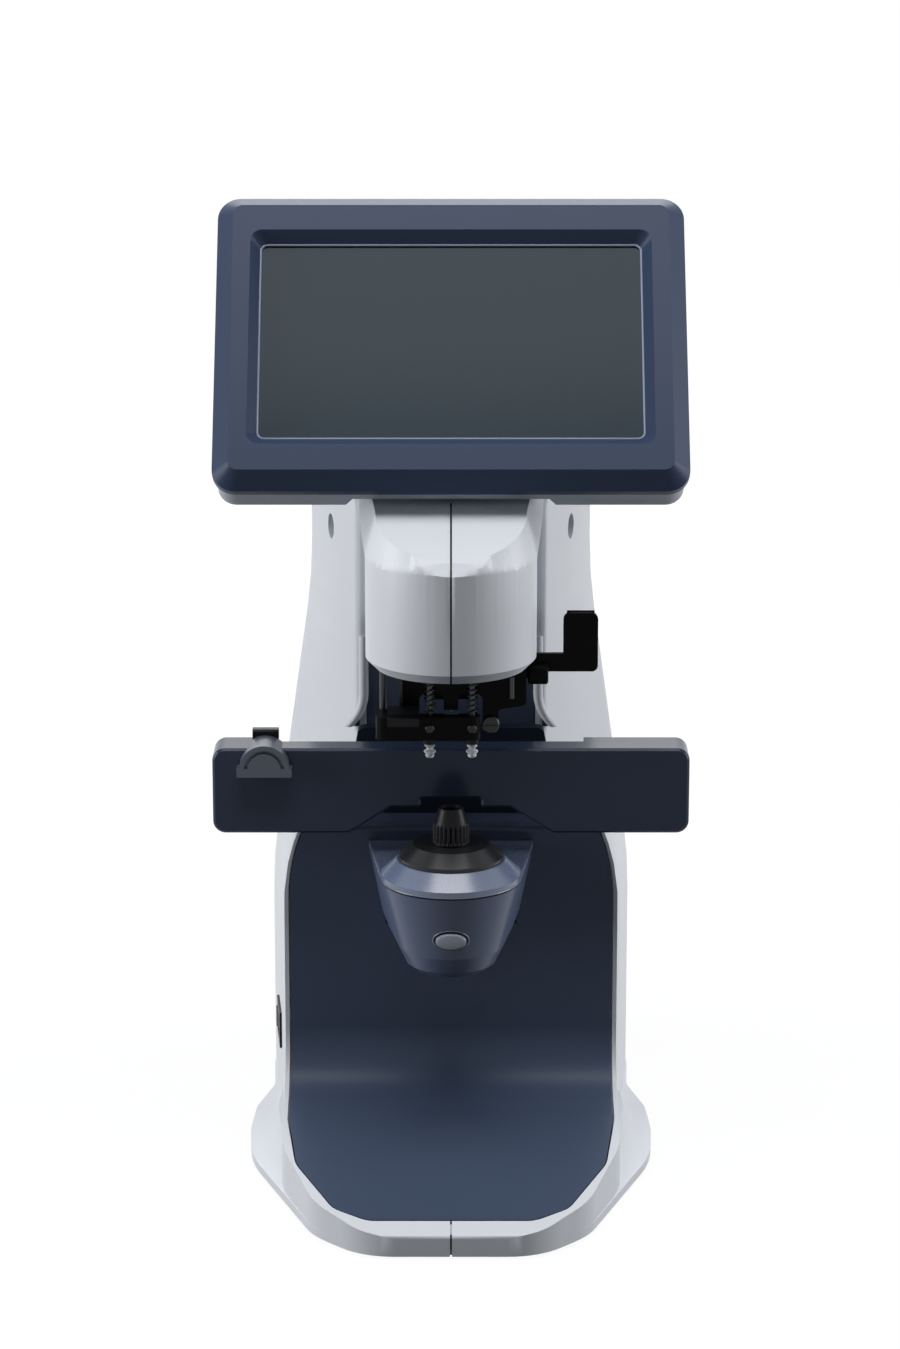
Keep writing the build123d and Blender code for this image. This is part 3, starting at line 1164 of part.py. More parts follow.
def make_collimator():
    """Plano-convex lens that makes the light parallel."""
    radius = BARREL_RADIUS - BARREL_WALL - 0.05
    low = COLLIMATOR_LOW + 0.02
    crown = low + LENS_EDGE + LENS_SAG
    curve = (radius**2 + LENS_SAG**2) / (2 * LENS_SAG)
    return upright(radius, low, crown, 0, AXIS_Y) & Pos(0, AXIS_Y, crown - curve) * Sphere(curve)


def make_light_board():
    """Round board with the light source, on top of the barrel."""
    board = upright(BARREL_RADIUS - 0.5, BARREL_TOP, BARREL_TOP + BOARD_THICK, 0, AXIS_Y)
    board += upright(2.5, BARREL_TOP - 4, BARREL_TOP, 0, AXIS_Y)
    return board + Pos(0, AXIS_Y, BARREL_TOP - 4) * Sphere(2.5)


def make_sensor_barrel():
    """Dark tube over the sensor, with a step for the plate of holes."""
    inner = SENSOR_RADIUS - 1.6
    low = LOWER_ARM_TOP + BOARD_THICK + SEAT
    return ring_profile([
        (inner - 1, low), (SENSOR_RADIUS, low), (SENSOR_RADIUS, SENSOR_TOP), (inner, SENSOR_TOP),
        (inner, SENSOR_TOP - 5), (inner - 1, SENSOR_TOP - 5)])


def make_grid_plate():
    """Thin plate with a grid of small holes that splits the light into spots."""
    low = SENSOR_TOP - 5
    plate = upright(SENSOR_RADIUS - 1.7, low, low + 0.8, 0, AXIS_Y)
    half = (GRID_COUNT - 1) / 2
    for column in range(GRID_COUNT):
        for row in range(GRID_COUNT):
            plate -= upright(GRID_HOLE / 2, low - 1, low + 2, (column - half) * GRID_PITCH,
                             AXIS_Y + (row - half) * GRID_PITCH)
    return plate


def make_sensor_board():
    """Board with the image sensor, on the lower arm."""
    top = LOWER_ARM_TOP + BOARD_THICK
    board = block(-9, 9, AXIS_Y - 9, AXIS_Y + 9, LOWER_ARM_TOP, top)
    return board + block(-4, 4, AXIS_Y - 3, AXIS_Y + 3, top, top + 1)


def make_main_board():
    """Main board on four stand-offs behind the post, with its larger components."""
    face = POST_BACK + 5
    board = block(-52, 52, face, face + BOARD_THICK, 96, 226)
    for x, z in ((-14, 100), (14, 100), (-14, 180), (14, 180)):
        board += lengthwise(2.5, POST_BACK, face, x, z)
    for x, z, wide, tall, deep in ((-30, 190, 24, 24, 3), (22, 200, 14, 20, 2.5), (30, 150, 30, 10, 8),
                                   (-34, 140, 12, 30, 6), (-5, 115, 40, 8, 9)):
        board += block(x - wide / 2, x + wide / 2, face + BOARD_THICK, face + BOARD_THICK + deep,
                       z - tall / 2, z + tall / 2)
    return board


def make_power_supply():
    """Power supply in a folded tray on the base plate."""
    tray = block(-50, 50, 2, 44, PLATE_TOP_Z, 34) - block(-48.5, 48.5, 3.5, 42.5, PLATE_TOP_Z + 1.5, 35)
    tray += block(-44, 44, 6, 40, PLATE_TOP_Z + 1.5, PLATE_TOP_Z + 4)
    for x, y, wide, deep, tall in ((-30, 22, 22, 26, 22), (0, 24, 18, 22, 18), (30, 18, 16, 16, 24)):
        tray += block(x - wide / 2, x + wide / 2, y - deep / 2, y + deep / 2,
                      PLATE_TOP_Z + 4, PLATE_TOP_Z + 4 + tall)
    return tray


def screen_plane(depth):
    """Plane of the display, centred on it, this far towards the viewer from its widest outline."""
    tilt = radians(SCREEN_TILT)
    up = Vector(0, sin(tilt), cos(tilt))
    front = Vector(0, -cos(tilt), sin(tilt))
    centre = Vector(*SCREEN_EDGE) + up * (BEZEL_TALL / 2) + front * depth
    return Plane(origin=centre, x_dir=(1, 0, 0), z_dir=front)


def plate_in_screen(wide, tall, corner, low, high):
    """Rounded plate lying in the display between two depths."""
    return extrude(screen_plane(low) * RectangleRounded(wide, tall, corner), amount=high - low)


def frustum_in_screen(low_size, low, high_size, high):
    """Slanting block in the display between two rounded rectangles."""
    return loft([screen_plane(low) * RectangleRounded(*low_size),
                 screen_plane(high) * RectangleRounded(*high_size)], ruled=True)


def make_bezel():
    """Dark bezel with a bevelled rim and a chamfered opening."""
    inner = (BEZEL_WIDE - 2 * BEZEL_BEVEL, BEZEL_TALL - 2 * BEZEL_BEVEL, BEZEL_CORNER - 5.5)
    bezel = plate_in_screen(BEZEL_WIDE, BEZEL_TALL, BEZEL_CORNER, -BEZEL_BACK, 0)
    bezel += frustum_in_screen((BEZEL_WIDE, BEZEL_TALL, BEZEL_CORNER), 0, inner, BEZEL_DEPTH)
    sink = BEZEL_DEPTH - GLASS_SINK
    bezel -= frustum_in_screen((GLASS_WIDE, GLASS_TALL, 3), sink,
                               (OPENING_WIDE, OPENING_TALL, 5), BEZEL_DEPTH)
    bezel -= plate_in_screen(GLASS_WIDE, GLASS_TALL, 3, -BEZEL_BACK - 1, sink + 0.1)
    lap = 2 * (GLASS_LAP + SEAT)
    bezel -= plate_in_screen(GLASS_WIDE + lap, GLASS_TALL + lap, 3, -BEZEL_BACK - 1, sink - LIP_THICK)
    bezel -= plate_in_screen(GLASS_WIDE + lap + 4, GLASS_TALL + lap + 6, 3, -BEZEL_BACK - 1,
                             sink - LIP_THICK - GLASS_THICK)
    return bezel


def make_screen_glass():
    """Cover glass of the display."""
    top = BEZEL_DEPTH - GLASS_SINK - LIP_THICK - 0.05
    wide, tall = GLASS_WIDE + 2 * GLASS_LAP, GLASS_TALL + 2 * GLASS_LAP
    return plate_in_screen(wide, tall, 2.5, top - GLASS_THICK, top)


def make_screen_module():
    """Display module behind the glass."""
    top = BEZEL_DEPTH - GLASS_SINK - LIP_THICK - GLASS_THICK - 0.1
    return plate_in_screen(GLASS_WIDE + 2 * GLASS_LAP + 3.4, GLASS_TALL + 2 * GLASS_LAP + 5.4, 1.5,
                           top - MODULE_THICK, top)


def make_screen_board():
    """Board that drives the display, behind the module."""
    top = BEZEL_DEPTH - GLASS_SINK - LIP_THICK - GLASS_THICK - 0.1 - MODULE_THICK - SEAT
    return plate_in_screen(104, 62, 1, top - BOARD_THICK, top)


def back_shell_shape(by):
    """Back of the display, drawn in by a wall: a rim, a shoulder, a raised middle and a low notch."""
    wide = BEZEL_WIDE - 2 * SHELL_INSET - 2 * by
    tall = BEZEL_TALL - 2 * SHELL_INSET - 2 * by
    rim = -BEZEL_BACK - 0.1
    edge = rim - SHELL_EDGE_DEPTH
    back = edge - SHELL_SHOULDER + by
    corner = BEZEL_CORNER - SHELL_INSET - by
    shape = plate_in_screen(wide, tall, corner, edge, rim)
    shape += frustum_in_screen((wide - 2 * SHELL_SHOULDER, tall - 2 * SHELL_SHOULDER, corner - 1), back,
                               (wide, tall, corner), edge)
    raised = (SHELL_BULGE_WIDE - 2 * by, SHELL_BULGE_TALL - 2 * by)
    shape += frustum_in_screen((raised[0] - 12, raised[1] - 12, 6), back - SHELL_BULGE,
                               (raised[0], raised[1], 9), back)
    floor, far = NOTCH_FLOOR - by, NOTCH_FLOOR + 29
    wider = NOTCH_HALF + by + NOTCH_SPREAD * (far - floor)
    face = make_face(Polyline((-NOTCH_HALF - by, floor), (NOTCH_HALF + by, floor), (wider, far),
                              (-wider, far), close=True))
    tilt = radians(SCREEN_TILT)
    along = Plane(origin=SCREEN_EDGE, x_dir=(1, 0, 0), z_dir=(0, sin(tilt), cos(tilt)))
    return shape - along * (Pos(0, 0, -5) * extrude(face, amount=NOTCH_RISE + 5 + by))


def make_back_shell():
    """Pale back shell of the display with slots for air and two ears for the hinge."""
    shell = back_shell_shape(0) - back_shell_shape(SHELL_WALL)
    edge = -BEZEL_BACK - SHELL_EDGE_DEPTH - SHELL_SHOULDER
    for slot in range(SLOT_COUNT):
        x = (slot - (SLOT_COUNT - 1) / 2) * SLOT_PITCH
        plane = screen_plane(edge - SHELL_BULGE - 1)
        shell -= extrude(plane * Pos(x, 22) * SlotOverall(24, 2.4, rotation=90), amount=6)
    tilt = radians(SCREEN_TILT)
    depth_at_pivot = -(PIVOT_Y - SCREEN_EDGE[1]) * cos(tilt) + (PIVOT_Z - SCREEN_EDGE[2]) * sin(tilt)
    height_at_pivot = (PIVOT_Y - SCREEN_EDGE[1]) * sin(tilt) + (PIVOT_Z - SCREEN_EDGE[2]) * cos(tilt)
    for side in (-1, 1):
        inner = side * (NECK_HALF + SEAT)
        outer = side * (NECK_HALF + SEAT + EAR_THICK)
        middle = (inner + outer) / 2
        ear = crosswise(PIVOT_RADIUS, min(inner, outer), max(inner, outer), PIVOT_Y, PIVOT_Z)
        face = Pos(middle, height_at_pivot - BEZEL_TALL / 2) * Rectangle(EAR_THICK, 2 * PIVOT_RADIUS)
        reach = edge - SHELL_BULGE + 1.8 - depth_at_pivot
        ear += extrude(screen_plane(depth_at_pivot) * face, amount=reach)
        ear -= crosswise(HINGE_PIN + 0.02, -40, 40, PIVOT_Y, PIVOT_Z)
        shell += ear
    return shell


def make_hinge_pin():
    """Pin of the display's hinge, held in the ears."""
    reach = NECK_HALF + SEAT + EAR_THICK + 1
    pin = crosswise(HINGE_PIN, -reach, reach, PIVOT_Y, PIVOT_Z)
    return chamfer(pin.edges(), 0.5)


def make_neck():
    """Neck on the upper arm that carries the display's hinge."""
    bend = BODY_TOP - 17
    side = outline([
        (PIVOT_Y - 7, PIVOT_Z), (PIVOT_Y - 7, BODY_TOP + 1), (NECK_FRONT, bend), (NECK_FRONT, ARM_TOP),
        (NECK_BACK, ARM_TOP), (NECK_BACK, BODY_TOP - 8), (PIVOT_Y + 7, PIVOT_Z - 8),
        (PIVOT_Y + 7, PIVOT_Z)], [0, 6, 6, 0, 0, 8, 4, 0])
    neck = side_prism(side, NECK_HALF) + crosswise(PIVOT_RADIUS, -NECK_HALF, NECK_HALF, PIVOT_Y, PIVOT_Z)
    return neck - crosswise(HINGE_PIN + RUN_FIT, -NECK_HALF - 1, NECK_HALF + 1, PIVOT_Y, PIVOT_Z)


def main():
    """Make every piece and write one file for each."""
    left_cover, right_cover = make_covers()
    pieces = {
        "left_cover": left_cover,
        "right_cover": right_cover,
        "cover_screws": make_cover_screws(),
        "base_plate": make_base_plate(),
        "rubber_feet": make_feet(),
        "front_panel": make_front_panel(),
        "throat_panel": make_throat_panel(),
        "rod_housing": make_rod_housing(),
        "power_inlet": make_inlet(),
        "switch_frame": make_switch_frame(),
        "power_rocker": make_rocker(),
        "stage_bowl": make_stage_bowl(),
        "stage_collar": make_stage_collar(),
        "stage_disc": make_stage_disc(),
        "cover_glass": make_cover_glass(),
        "nosepiece": make_nosepiece(),
        "read_button": make_read_button(),
        "button_board": make_button_board(),
        "table_bar": make_table_bar(),
        "table_rail": make_table_rail(),
        "table_rods": make_table_rods(),
        "rod_sleeves": make_rod_sleeves(),
        "slider_arch": make_slider_arch(),
        "slider_clip": make_slider_clip(),
        "holder_bar": make_holder_bar(),
        "holder_rod": make_holder_rod(),
        "holder_tab": make_holder_tab(),
        "holder_tips": make_tips(),
        "tip_collars": make_tip_collars(),
        "tip_pins": make_tip_pins(),
        "tip_springs": make_tip_springs(),
        "holder_screws": make_holder_screws(),
        "holder_sleeve": make_holder_sleeve(),
        "marker_plate": make_marker_plate(),
        "marker_screws": make_marker_screws(),
        "side_strip": make_side_strip(),
        "stop_pin": make_stop_pin(),
        "marker_lever": make_lever(),
        "lever_shaft": make_lever_shaft(),
        "marker_carriage": make_carriage(),
        "marker_needles": make_needles(),
        "carriage_guide": make_carriage_guide(),
        "cast_frame": make_frame(),
        "lens_barrel": make_lens_barrel(),
        "collimator_lens": make_collimator(),
        "light_board": make_light_board(),
        "sensor_barrel": make_sensor_barrel(),
        "grid_plate": make_grid_plate(),
        "sensor_board": make_sensor_board(),
        "main_board": make_main_board(),
        "power_supply": make_power_supply(),
        "display_bezel": make_bezel(),
        "screen_glass": make_screen_glass(),
        "screen_module": make_screen_module(),
        "screen_board": make_screen_board(),
        "display_back": make_back_shell(),
        "hinge_pin": make_hinge_pin(),
        "display_neck": make_neck(),
    }
    os.makedirs("parts", exist_ok=True)
    for name, piece in pieces.items():
        export_step(piece, os.path.join("parts", name + ".step"))


main()
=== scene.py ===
"""Auto lensmeter in its finishes: small trim, floor, light and camera round the CAD frame.

The scene is in metres, in the frame's own axes: X to the viewer's right, Y to the back, Z up.
Sizes of patterns and pieces are written in millimetres.
"""

import json
import logging
from abc import ABC, abstractmethod
from dataclasses import dataclass, field
from enum import Enum
from math import radians

import bmesh
import bpy
import numpy as np
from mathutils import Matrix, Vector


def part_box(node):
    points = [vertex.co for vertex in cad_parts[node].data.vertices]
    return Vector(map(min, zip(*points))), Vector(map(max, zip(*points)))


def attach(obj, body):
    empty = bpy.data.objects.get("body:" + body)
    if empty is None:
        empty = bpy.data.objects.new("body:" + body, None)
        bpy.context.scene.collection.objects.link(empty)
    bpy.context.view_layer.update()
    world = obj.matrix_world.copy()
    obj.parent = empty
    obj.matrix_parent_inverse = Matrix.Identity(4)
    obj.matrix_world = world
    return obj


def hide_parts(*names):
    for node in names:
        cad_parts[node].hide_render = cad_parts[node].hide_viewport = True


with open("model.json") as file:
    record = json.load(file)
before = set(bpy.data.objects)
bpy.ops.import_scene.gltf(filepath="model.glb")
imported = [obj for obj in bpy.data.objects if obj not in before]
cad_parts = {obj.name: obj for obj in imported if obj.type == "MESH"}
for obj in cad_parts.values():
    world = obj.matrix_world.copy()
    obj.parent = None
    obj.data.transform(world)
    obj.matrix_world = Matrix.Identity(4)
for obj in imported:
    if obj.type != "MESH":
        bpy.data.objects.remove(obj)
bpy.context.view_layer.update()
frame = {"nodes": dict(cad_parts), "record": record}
LOG = logging.getLogger("lensmeter")
MM = 0.001
WELD = 1e-6  # metres within which two points are one
TINY = 1e-6  # stands in for nought where a length divides
SHARP_ANGLE = radians(38.0)  # faces that meet at more than this show an edge
FULL_TURN = 2 * np.pi
MIX_FIRST, MIX_SECOND, MIX_COLOUR = 6, 7, 2  # a mix node's two colour inputs, its colour output
NOISE_LOW, NOISE_HIGH = 0.3, 0.7  # nearly all values of a noise lie between these
PLASTIC_IOR = 1.5

Colour = tuple[float, float, float, float]
Triple = tuple[float, float, float]
Span = tuple[float, float]
Pairs = tuple[Span, ...]
Tree, Node, Socket = bpy.types.NodeTree, bpy.types.Node, bpy.types.NodeSocket


def linear(code: str) -> Colour:
    """Turn an sRGB hex code into a linear colour.

    The sRGB curve is a straight foot up to 0.04045, and above it a power of 2.4.

    Args:
        code: Six hex digits after a hash, as read off a colour chart.

    Returns:
        Linear red, green and blue, and an alpha of one.
    """
    parts = [int(code[i:i + 2], 16) / 255 for i in (1, 3, 5)]
    red, green, blue = [p / 12.92 if p <= 0.04045 else ((p + 0.055) / 1.055) ** 2.4
                        for p in parts]
    return red, green, blue, 1.0


def shades(code: str, down: float, up: float) -> tuple[Colour, Colour]:
    """Find two tones of a colour, for a pattern to drift between.

    Args:
        code: The colour as an sRGB hex code.
        down: Share by which the first tone is darker.
        up: Share by which the second tone is lighter.

    Returns:
        The darker and the lighter linear colour.
    """
    base = linear(code)[:3]
    dark = tuple(c * (1 - down) for c in base) + (1.0,)
    light = tuple(min(c * (1 + up), 1.0) for c in base) + (1.0,)
    return dark, light


def per_mm(size: float) -> float:
    """Texture scale at which a pattern's cell measures this many millimetres."""
    return 1 / (size * MM)


def add(tree: Tree, kind: str, settings: dict | None = None, links: dict | None = None) -> Node:
    """Add one node with its settings and links.

    Args:
        tree: The node tree that gets the node.
        kind: The node's type name.
        settings: Values for sockets, by name or index, or else for the node's own options.
        links: Output sockets that feed the node's inputs, by input name or index.

    Returns:
        The new node.
    """
    node = tree.nodes.new(kind)
    for key, value in (settings or {}).items():
        if isinstance(key, int) or key in node.inputs:
            node.inputs[key].default_value = value
        else:
            setattr(node, key, value)
    for key, socket in (links or {}).items():
        tree.links.new(socket, node.inputs[key])
    return node


def tones(first: Colour, second: Colour) -> dict:
    """Settings of a mix node that runs from one colour to another."""
    return {"data_type": "RGBA", MIX_FIRST: first, MIX_SECOND: second}


def spread(low: float, high: float, start: float = 0.0, end: float = 1.0) -> dict:
    """Settings of a map-range node that turns start to end into low to high."""
    return {"From Min": start, "From Max": end, "To Min": low, "To Max": high}


@dataclass(frozen=True)
class Finish(ABC):
    """A material whose patterns are laid out in the object's own coordinates."""

    name: str
    colour: str  # sRGB hex code

    @abstractmethod
    def surface(self, tree: Tree, place: Socket) -> Node:
        """Add the nodes of the surface.

        Args:
            tree: The material's tree.
            place: Object coordinates.

        Returns:
            The node whose first output is the surface.
        """

    def make(self) -> bpy.types.Material:
        """Build the material.

        Returns:
            The material, with its surface linked to the output.
        """
        material = bpy.data.materials.new(self.name)
        material.use_nodes = True
        tree = material.node_tree
        tree.nodes.clear()
        place = add(tree, "ShaderNodeTexCoord").outputs["Object"]
        shader = self.surface(tree, place)
        add(tree, "ShaderNodeOutputMaterial", links={"Surface": shader.outputs[0]})
        return material


@dataclass(frozen=True)
class DriftingFinish(Finish):
    """A body colour that drifts slowly, under a fine relief that also changes the gloss."""

    roughness: float
    specular: float
    depth: float = 0.01  # millimetres from the top to the bottom of the relief
    mottle: float = 0.03  # share by which the colour drifts
    reach: float = 60.0  # millimetres over which it drifts
    gloss_span: Span = (0.93, 1.07)  # shares of the roughness along the relief

    def body(self, tree: Tree, place: Socket, grain: Socket, height: Socket) -> Node:
        """Join the drift of colour, the gloss and the relief.

        Args:
            tree: The material's tree.
            place: Object coordinates.
            grain: Fine noise that the gloss follows.
            height: Height of the relief.

        Returns:
            The shader.
        """
        drift = add(tree, "ShaderNodeTexNoise", {"Scale": per_mm(self.reach), "Detail": 2.0},
                    {"Vector": place})
        tone = add(tree, "ShaderNodeMix", tones(*shades(self.colour, self.mottle, self.mottle)),
                   {0: drift.outputs["Fac"]})
        low, high = [self.roughness * share for share in self.gloss_span]
        gloss = add(tree, "ShaderNodeMapRange", spread(low, high, NOISE_LOW, NOISE_HIGH),
                    {"Value": grain})
        bump = add(tree, "ShaderNodeBump", {"Strength": 1.0, "Distance": self.depth * MM},
                   {"Height": height})
        return add(tree, "ShaderNodeBsdfPrincipled",
                   {"Specular IOR Level": self.specular, "IOR": PLASTIC_IOR},
                   {"Base Color": tone.outputs[MIX_COLOUR], "Roughness": gloss.outputs[0],
                    "Normal": bump.outputs[0]})


@dataclass(frozen=True)
class MouldedPlastic(DriftingFinish):
    """Plastic moulded in a spark-eroded tool: an even fine grain that spreads the highlights."""

    grain: float = 0.5  # millimetres across a grain

    def surface(self, tree: Tree, place: Socket) -> Node:
        """Add one noise as the grain of both the gloss and the relief."""
        grain = add(tree, "ShaderNodeTexNoise", {"Scale": per_mm(self.grain), "Detail": 3.0},
                    {"Vector": place})
        return self.body(tree, place, grain.outputs["Fac"], grain.outputs["Fac"])


@dataclass(frozen=True)
class SprayedPaint(DriftingFinish):
    """Satin paint sprayed on plastic: a soft orange peel under a low sheen."""

    depth: float = 0.004
    mottle: float = 0.04
    reach: float = 80.0
    gloss_span: Span = (0.95, 1.08)
    peel: float = 1.4  # millimetres across a ripple
    dust: float = 0.35  # millimetres across a grain of dust
    dust_share: float = 0.35  # height of the dust beside the ripples

    def surface(self, tree: Tree, place: Socket) -> Node:
        """Add the ripples of the sprayed coat with fine dust on them.

        Args:
            tree: The material's tree.
            place: Object coordinates.

        Returns:
            The shader.
        """
        peel = add(tree, "ShaderNodeTexNoise", {"Scale": per_mm(self.peel), "Detail": 1.0},
                   {"Vector": place})
        dust = add(tree, "ShaderNodeTexNoise", {"Scale": per_mm(self.dust), "Detail": 2.0},
                   {"Vector": place})
        height = add(tree, "ShaderNodeMath", {"operation": "MULTIPLY_ADD", 1: self.dust_share},
                     {0: dust.outputs["Fac"], 2: peel.outputs["Fac"]})
        return self.body(tree, place, dust.outputs["Fac"], height.outputs[0])


class Run(Enum):
    """Which way the marks of a metal run, as the pattern's scale along X, Y and Z."""

    ALONG_X = (0.02, 1.0, 1.0)
    ALONG_Y = (1.0, 0.02, 1.0)
    ROUND_Z = (0.05, 0.05, 1.0)


@dataclass(frozen=True)
class WorkedMetal(Finish):
    """Metal with the marks of its last cut or grind: fine lines one way."""

    roughness: float
    metallic: float
    depth: float = 0.003  # millimetres
    run: Run = Run.ROUND_Z
    line: float = 0.25  # millimetres between marks
    dimmed: float = 0.1  # share by which the marks are darker
    gloss_span: Span = (0.8, 1.2)  # shares of the roughness across the marks

    def surface(self, tree: Tree, place: Socket) -> Node:
        """Add noise drawn out along the marks, on colour, gloss and relief.

        Args:
            tree: The material's tree.
            place: Object coordinates.

        Returns:
            The shader.
        """
        drawn = add(tree, "ShaderNodeMapping", {"Scale": self.run.value}, {"Vector": place})
        marks = add(tree, "ShaderNodeTexNoise", {"Scale": per_mm(self.line), "Detail": 3.0},
                    {"Vector": drawn.outputs[0]}).outputs["Fac"]
        tone = add(tree, "ShaderNodeMix", tones(*shades(self.colour, self.dimmed, 0.0)),
                   {0: marks})
        low, high = [self.roughness * share for share in self.gloss_span]
        gloss = add(tree, "ShaderNodeMapRange", spread(low, high), {"Value": marks})
        bump = add(tree, "ShaderNodeBump", {"Strength": 1.0, "Distance": self.depth * MM},
                   {"Height": marks})
        return add(tree, "ShaderNodeBsdfPrincipled", {"Metallic": self.metallic},
                   {"Base Color": tone.outputs[MIX_COLOUR], "Roughness": gloss.outputs[0],
                    "Normal": bump.outputs[0]})


@dataclass(frozen=True)
class ClearSolid(Finish):
    """Clear silicone or glass: light goes through it and bends."""

    roughness: float
    ior: float
    cloud: float = 0.0  # share of the light that it scatters as a milky body
    flow: float = 1.2  # millimetres across a flow mark of the mould
    gloss_span: Span = (0.8, 1.2)  # shares of the roughness across the marks

    def surface(self, tree: Tree, place: Socket) -> Node:
        """Add a body that light passes, with faint flow marks on its gloss.

        Args:
            tree: The material's tree.
            place: Object coordinates.

        Returns:
            The shader.
        """
        flow = add(tree, "ShaderNodeTexNoise", {"Scale": per_mm(self.flow), "Detail": 2.0},
                   {"Vector": place})
        low, high = [self.roughness * share for share in self.gloss_span]
        gloss = add(tree, "ShaderNodeMapRange", spread(low, high), {"Value": flow.outputs["Fac"]})
        return add(tree, "ShaderNodeBsdfPrincipled",
                   {"Base Color": linear(self.colour), "Transmission Weight": 1.0 - self.cloud,
                    "IOR": self.ior}, {"Roughness": gloss.outputs[0]})


@dataclass(frozen=True)
class CircuitBoard(Finish):
    """Solder mask over copper tracks: a green board with paler lines in a grid."""

    track: str  # colour over the tracks, sRGB hex code
    pitch: float = 2.5  # millimetres between tracks
    thick: float = 0.02  # millimetres that a track stands up
    edge: Span = (0.42, 0.46)  # where in its cell a track begins
    roughness: float = 0.35

    def surface(self, tree: Tree, place: Socket) -> Node:
        """Add a cell pattern squared off into tracks.

        Args:
            tree: The material's tree.
            place: Object coordinates.

        Returns:
            The shader.
        """
        cells = add(tree, "ShaderNodeTexVoronoi",
                    {"Scale": per_mm(self.pitch), "distance": "MANHATTAN", "feature": "F1"},
                    {"Vector": place})
        cut = add(tree, "ShaderNodeMapRange", spread(0.0, 1.0, *self.edge),
                  {"Value": cells.outputs["Distance"]}).outputs[0]
        tone = add(tree, "ShaderNodeMix", tones(linear(self.colour), linear(self.track)),
                   {0: cut})
        bump = add(tree, "ShaderNodeBump", {"Strength": 1.0, "Distance": self.thick * MM},
                   {"Height": cut})
        return add(tree, "ShaderNodeBsdfPrincipled", {"Roughness": self.roughness},
                   {"Base Color": tone.outputs[MIX_COLOUR], "Normal": bump.outputs[0]})


@dataclass(frozen=True)
class PaperSweep(Finish):
    """Matt paper that takes soft shadows and, where it is seen, glows up to white."""

    pale: str = "#4d4f52"  # tone of the lighter fibres
    fibre: float = 3.0  # millimetres across a clump of fibres
    glow: float = 0.94  # strength of the glow under the instrument; it grows to one
    near: float = 0.25  # metres from the middle at which the glow begins to grow
    far: float = 1.1  # metres from the middle at which it is full

    def surface(self, tree: Tree, place: Socket) -> Node:
        """Add dark matt paper and a glow that only seen rays meet.

        Args:
            tree: The material's tree.
            place: Object coordinates.

        Returns:
            The shader.
        """
        fibre = add(tree, "ShaderNodeTexNoise", {"Scale": per_mm(self.fibre), "Detail": 2.0},
                    {"Vector": place})
        tone = add(tree, "ShaderNodeMix", tones(linear(self.colour), linear(self.pale)),
                   {0: fibre.outputs["Fac"]})
        paper = add(tree, "ShaderNodeBsdfDiffuse", links={"Color": tone.outputs[MIX_COLOUR]})
        away = add(tree, "ShaderNodeVectorMath", {"operation": "LENGTH"}, {0: place})
        share = add(tree, "ShaderNodeMapRange", spread(self.glow, 1.0, self.near, self.far),
                    {"Value": away.outputs["Value"]})
        seen = add(tree, "ShaderNodeMath", {"operation": "MULTIPLY"},
                   {0: share.outputs[0], 1: seen_rays(tree)})
        glow = add(tree, "ShaderNodeEmission", {"Color": linear("#ffffff")},
                   {"Strength": seen.outputs[0]})
        return add(tree, "ShaderNodeAddShader", links={0: paper.outputs[0], 1: glow.outputs[0]})


def seen_rays(tree: Tree) -> Socket:
    """Tell the rays that show a thing from those that light one.

    Args:
        tree: The tree that gets the nodes.

    Returns:
        A socket that holds one for camera, glossy and transmission rays, and nought for others.
    """
    path = add(tree, "ShaderNodeLightPath")
    glossy = add(tree, "ShaderNodeMath", {"operation": "MAXIMUM"},
                 {0: path.outputs["Is Camera Ray"], 1: path.outputs["Is Glossy Ray"]})
    seen = add(tree, "ShaderNodeMath", {"operation": "MAXIMUM"},
               {0: glossy.outputs[0], 1: path.outputs["Is Transmission Ray"]})
    return seen.outputs[0]


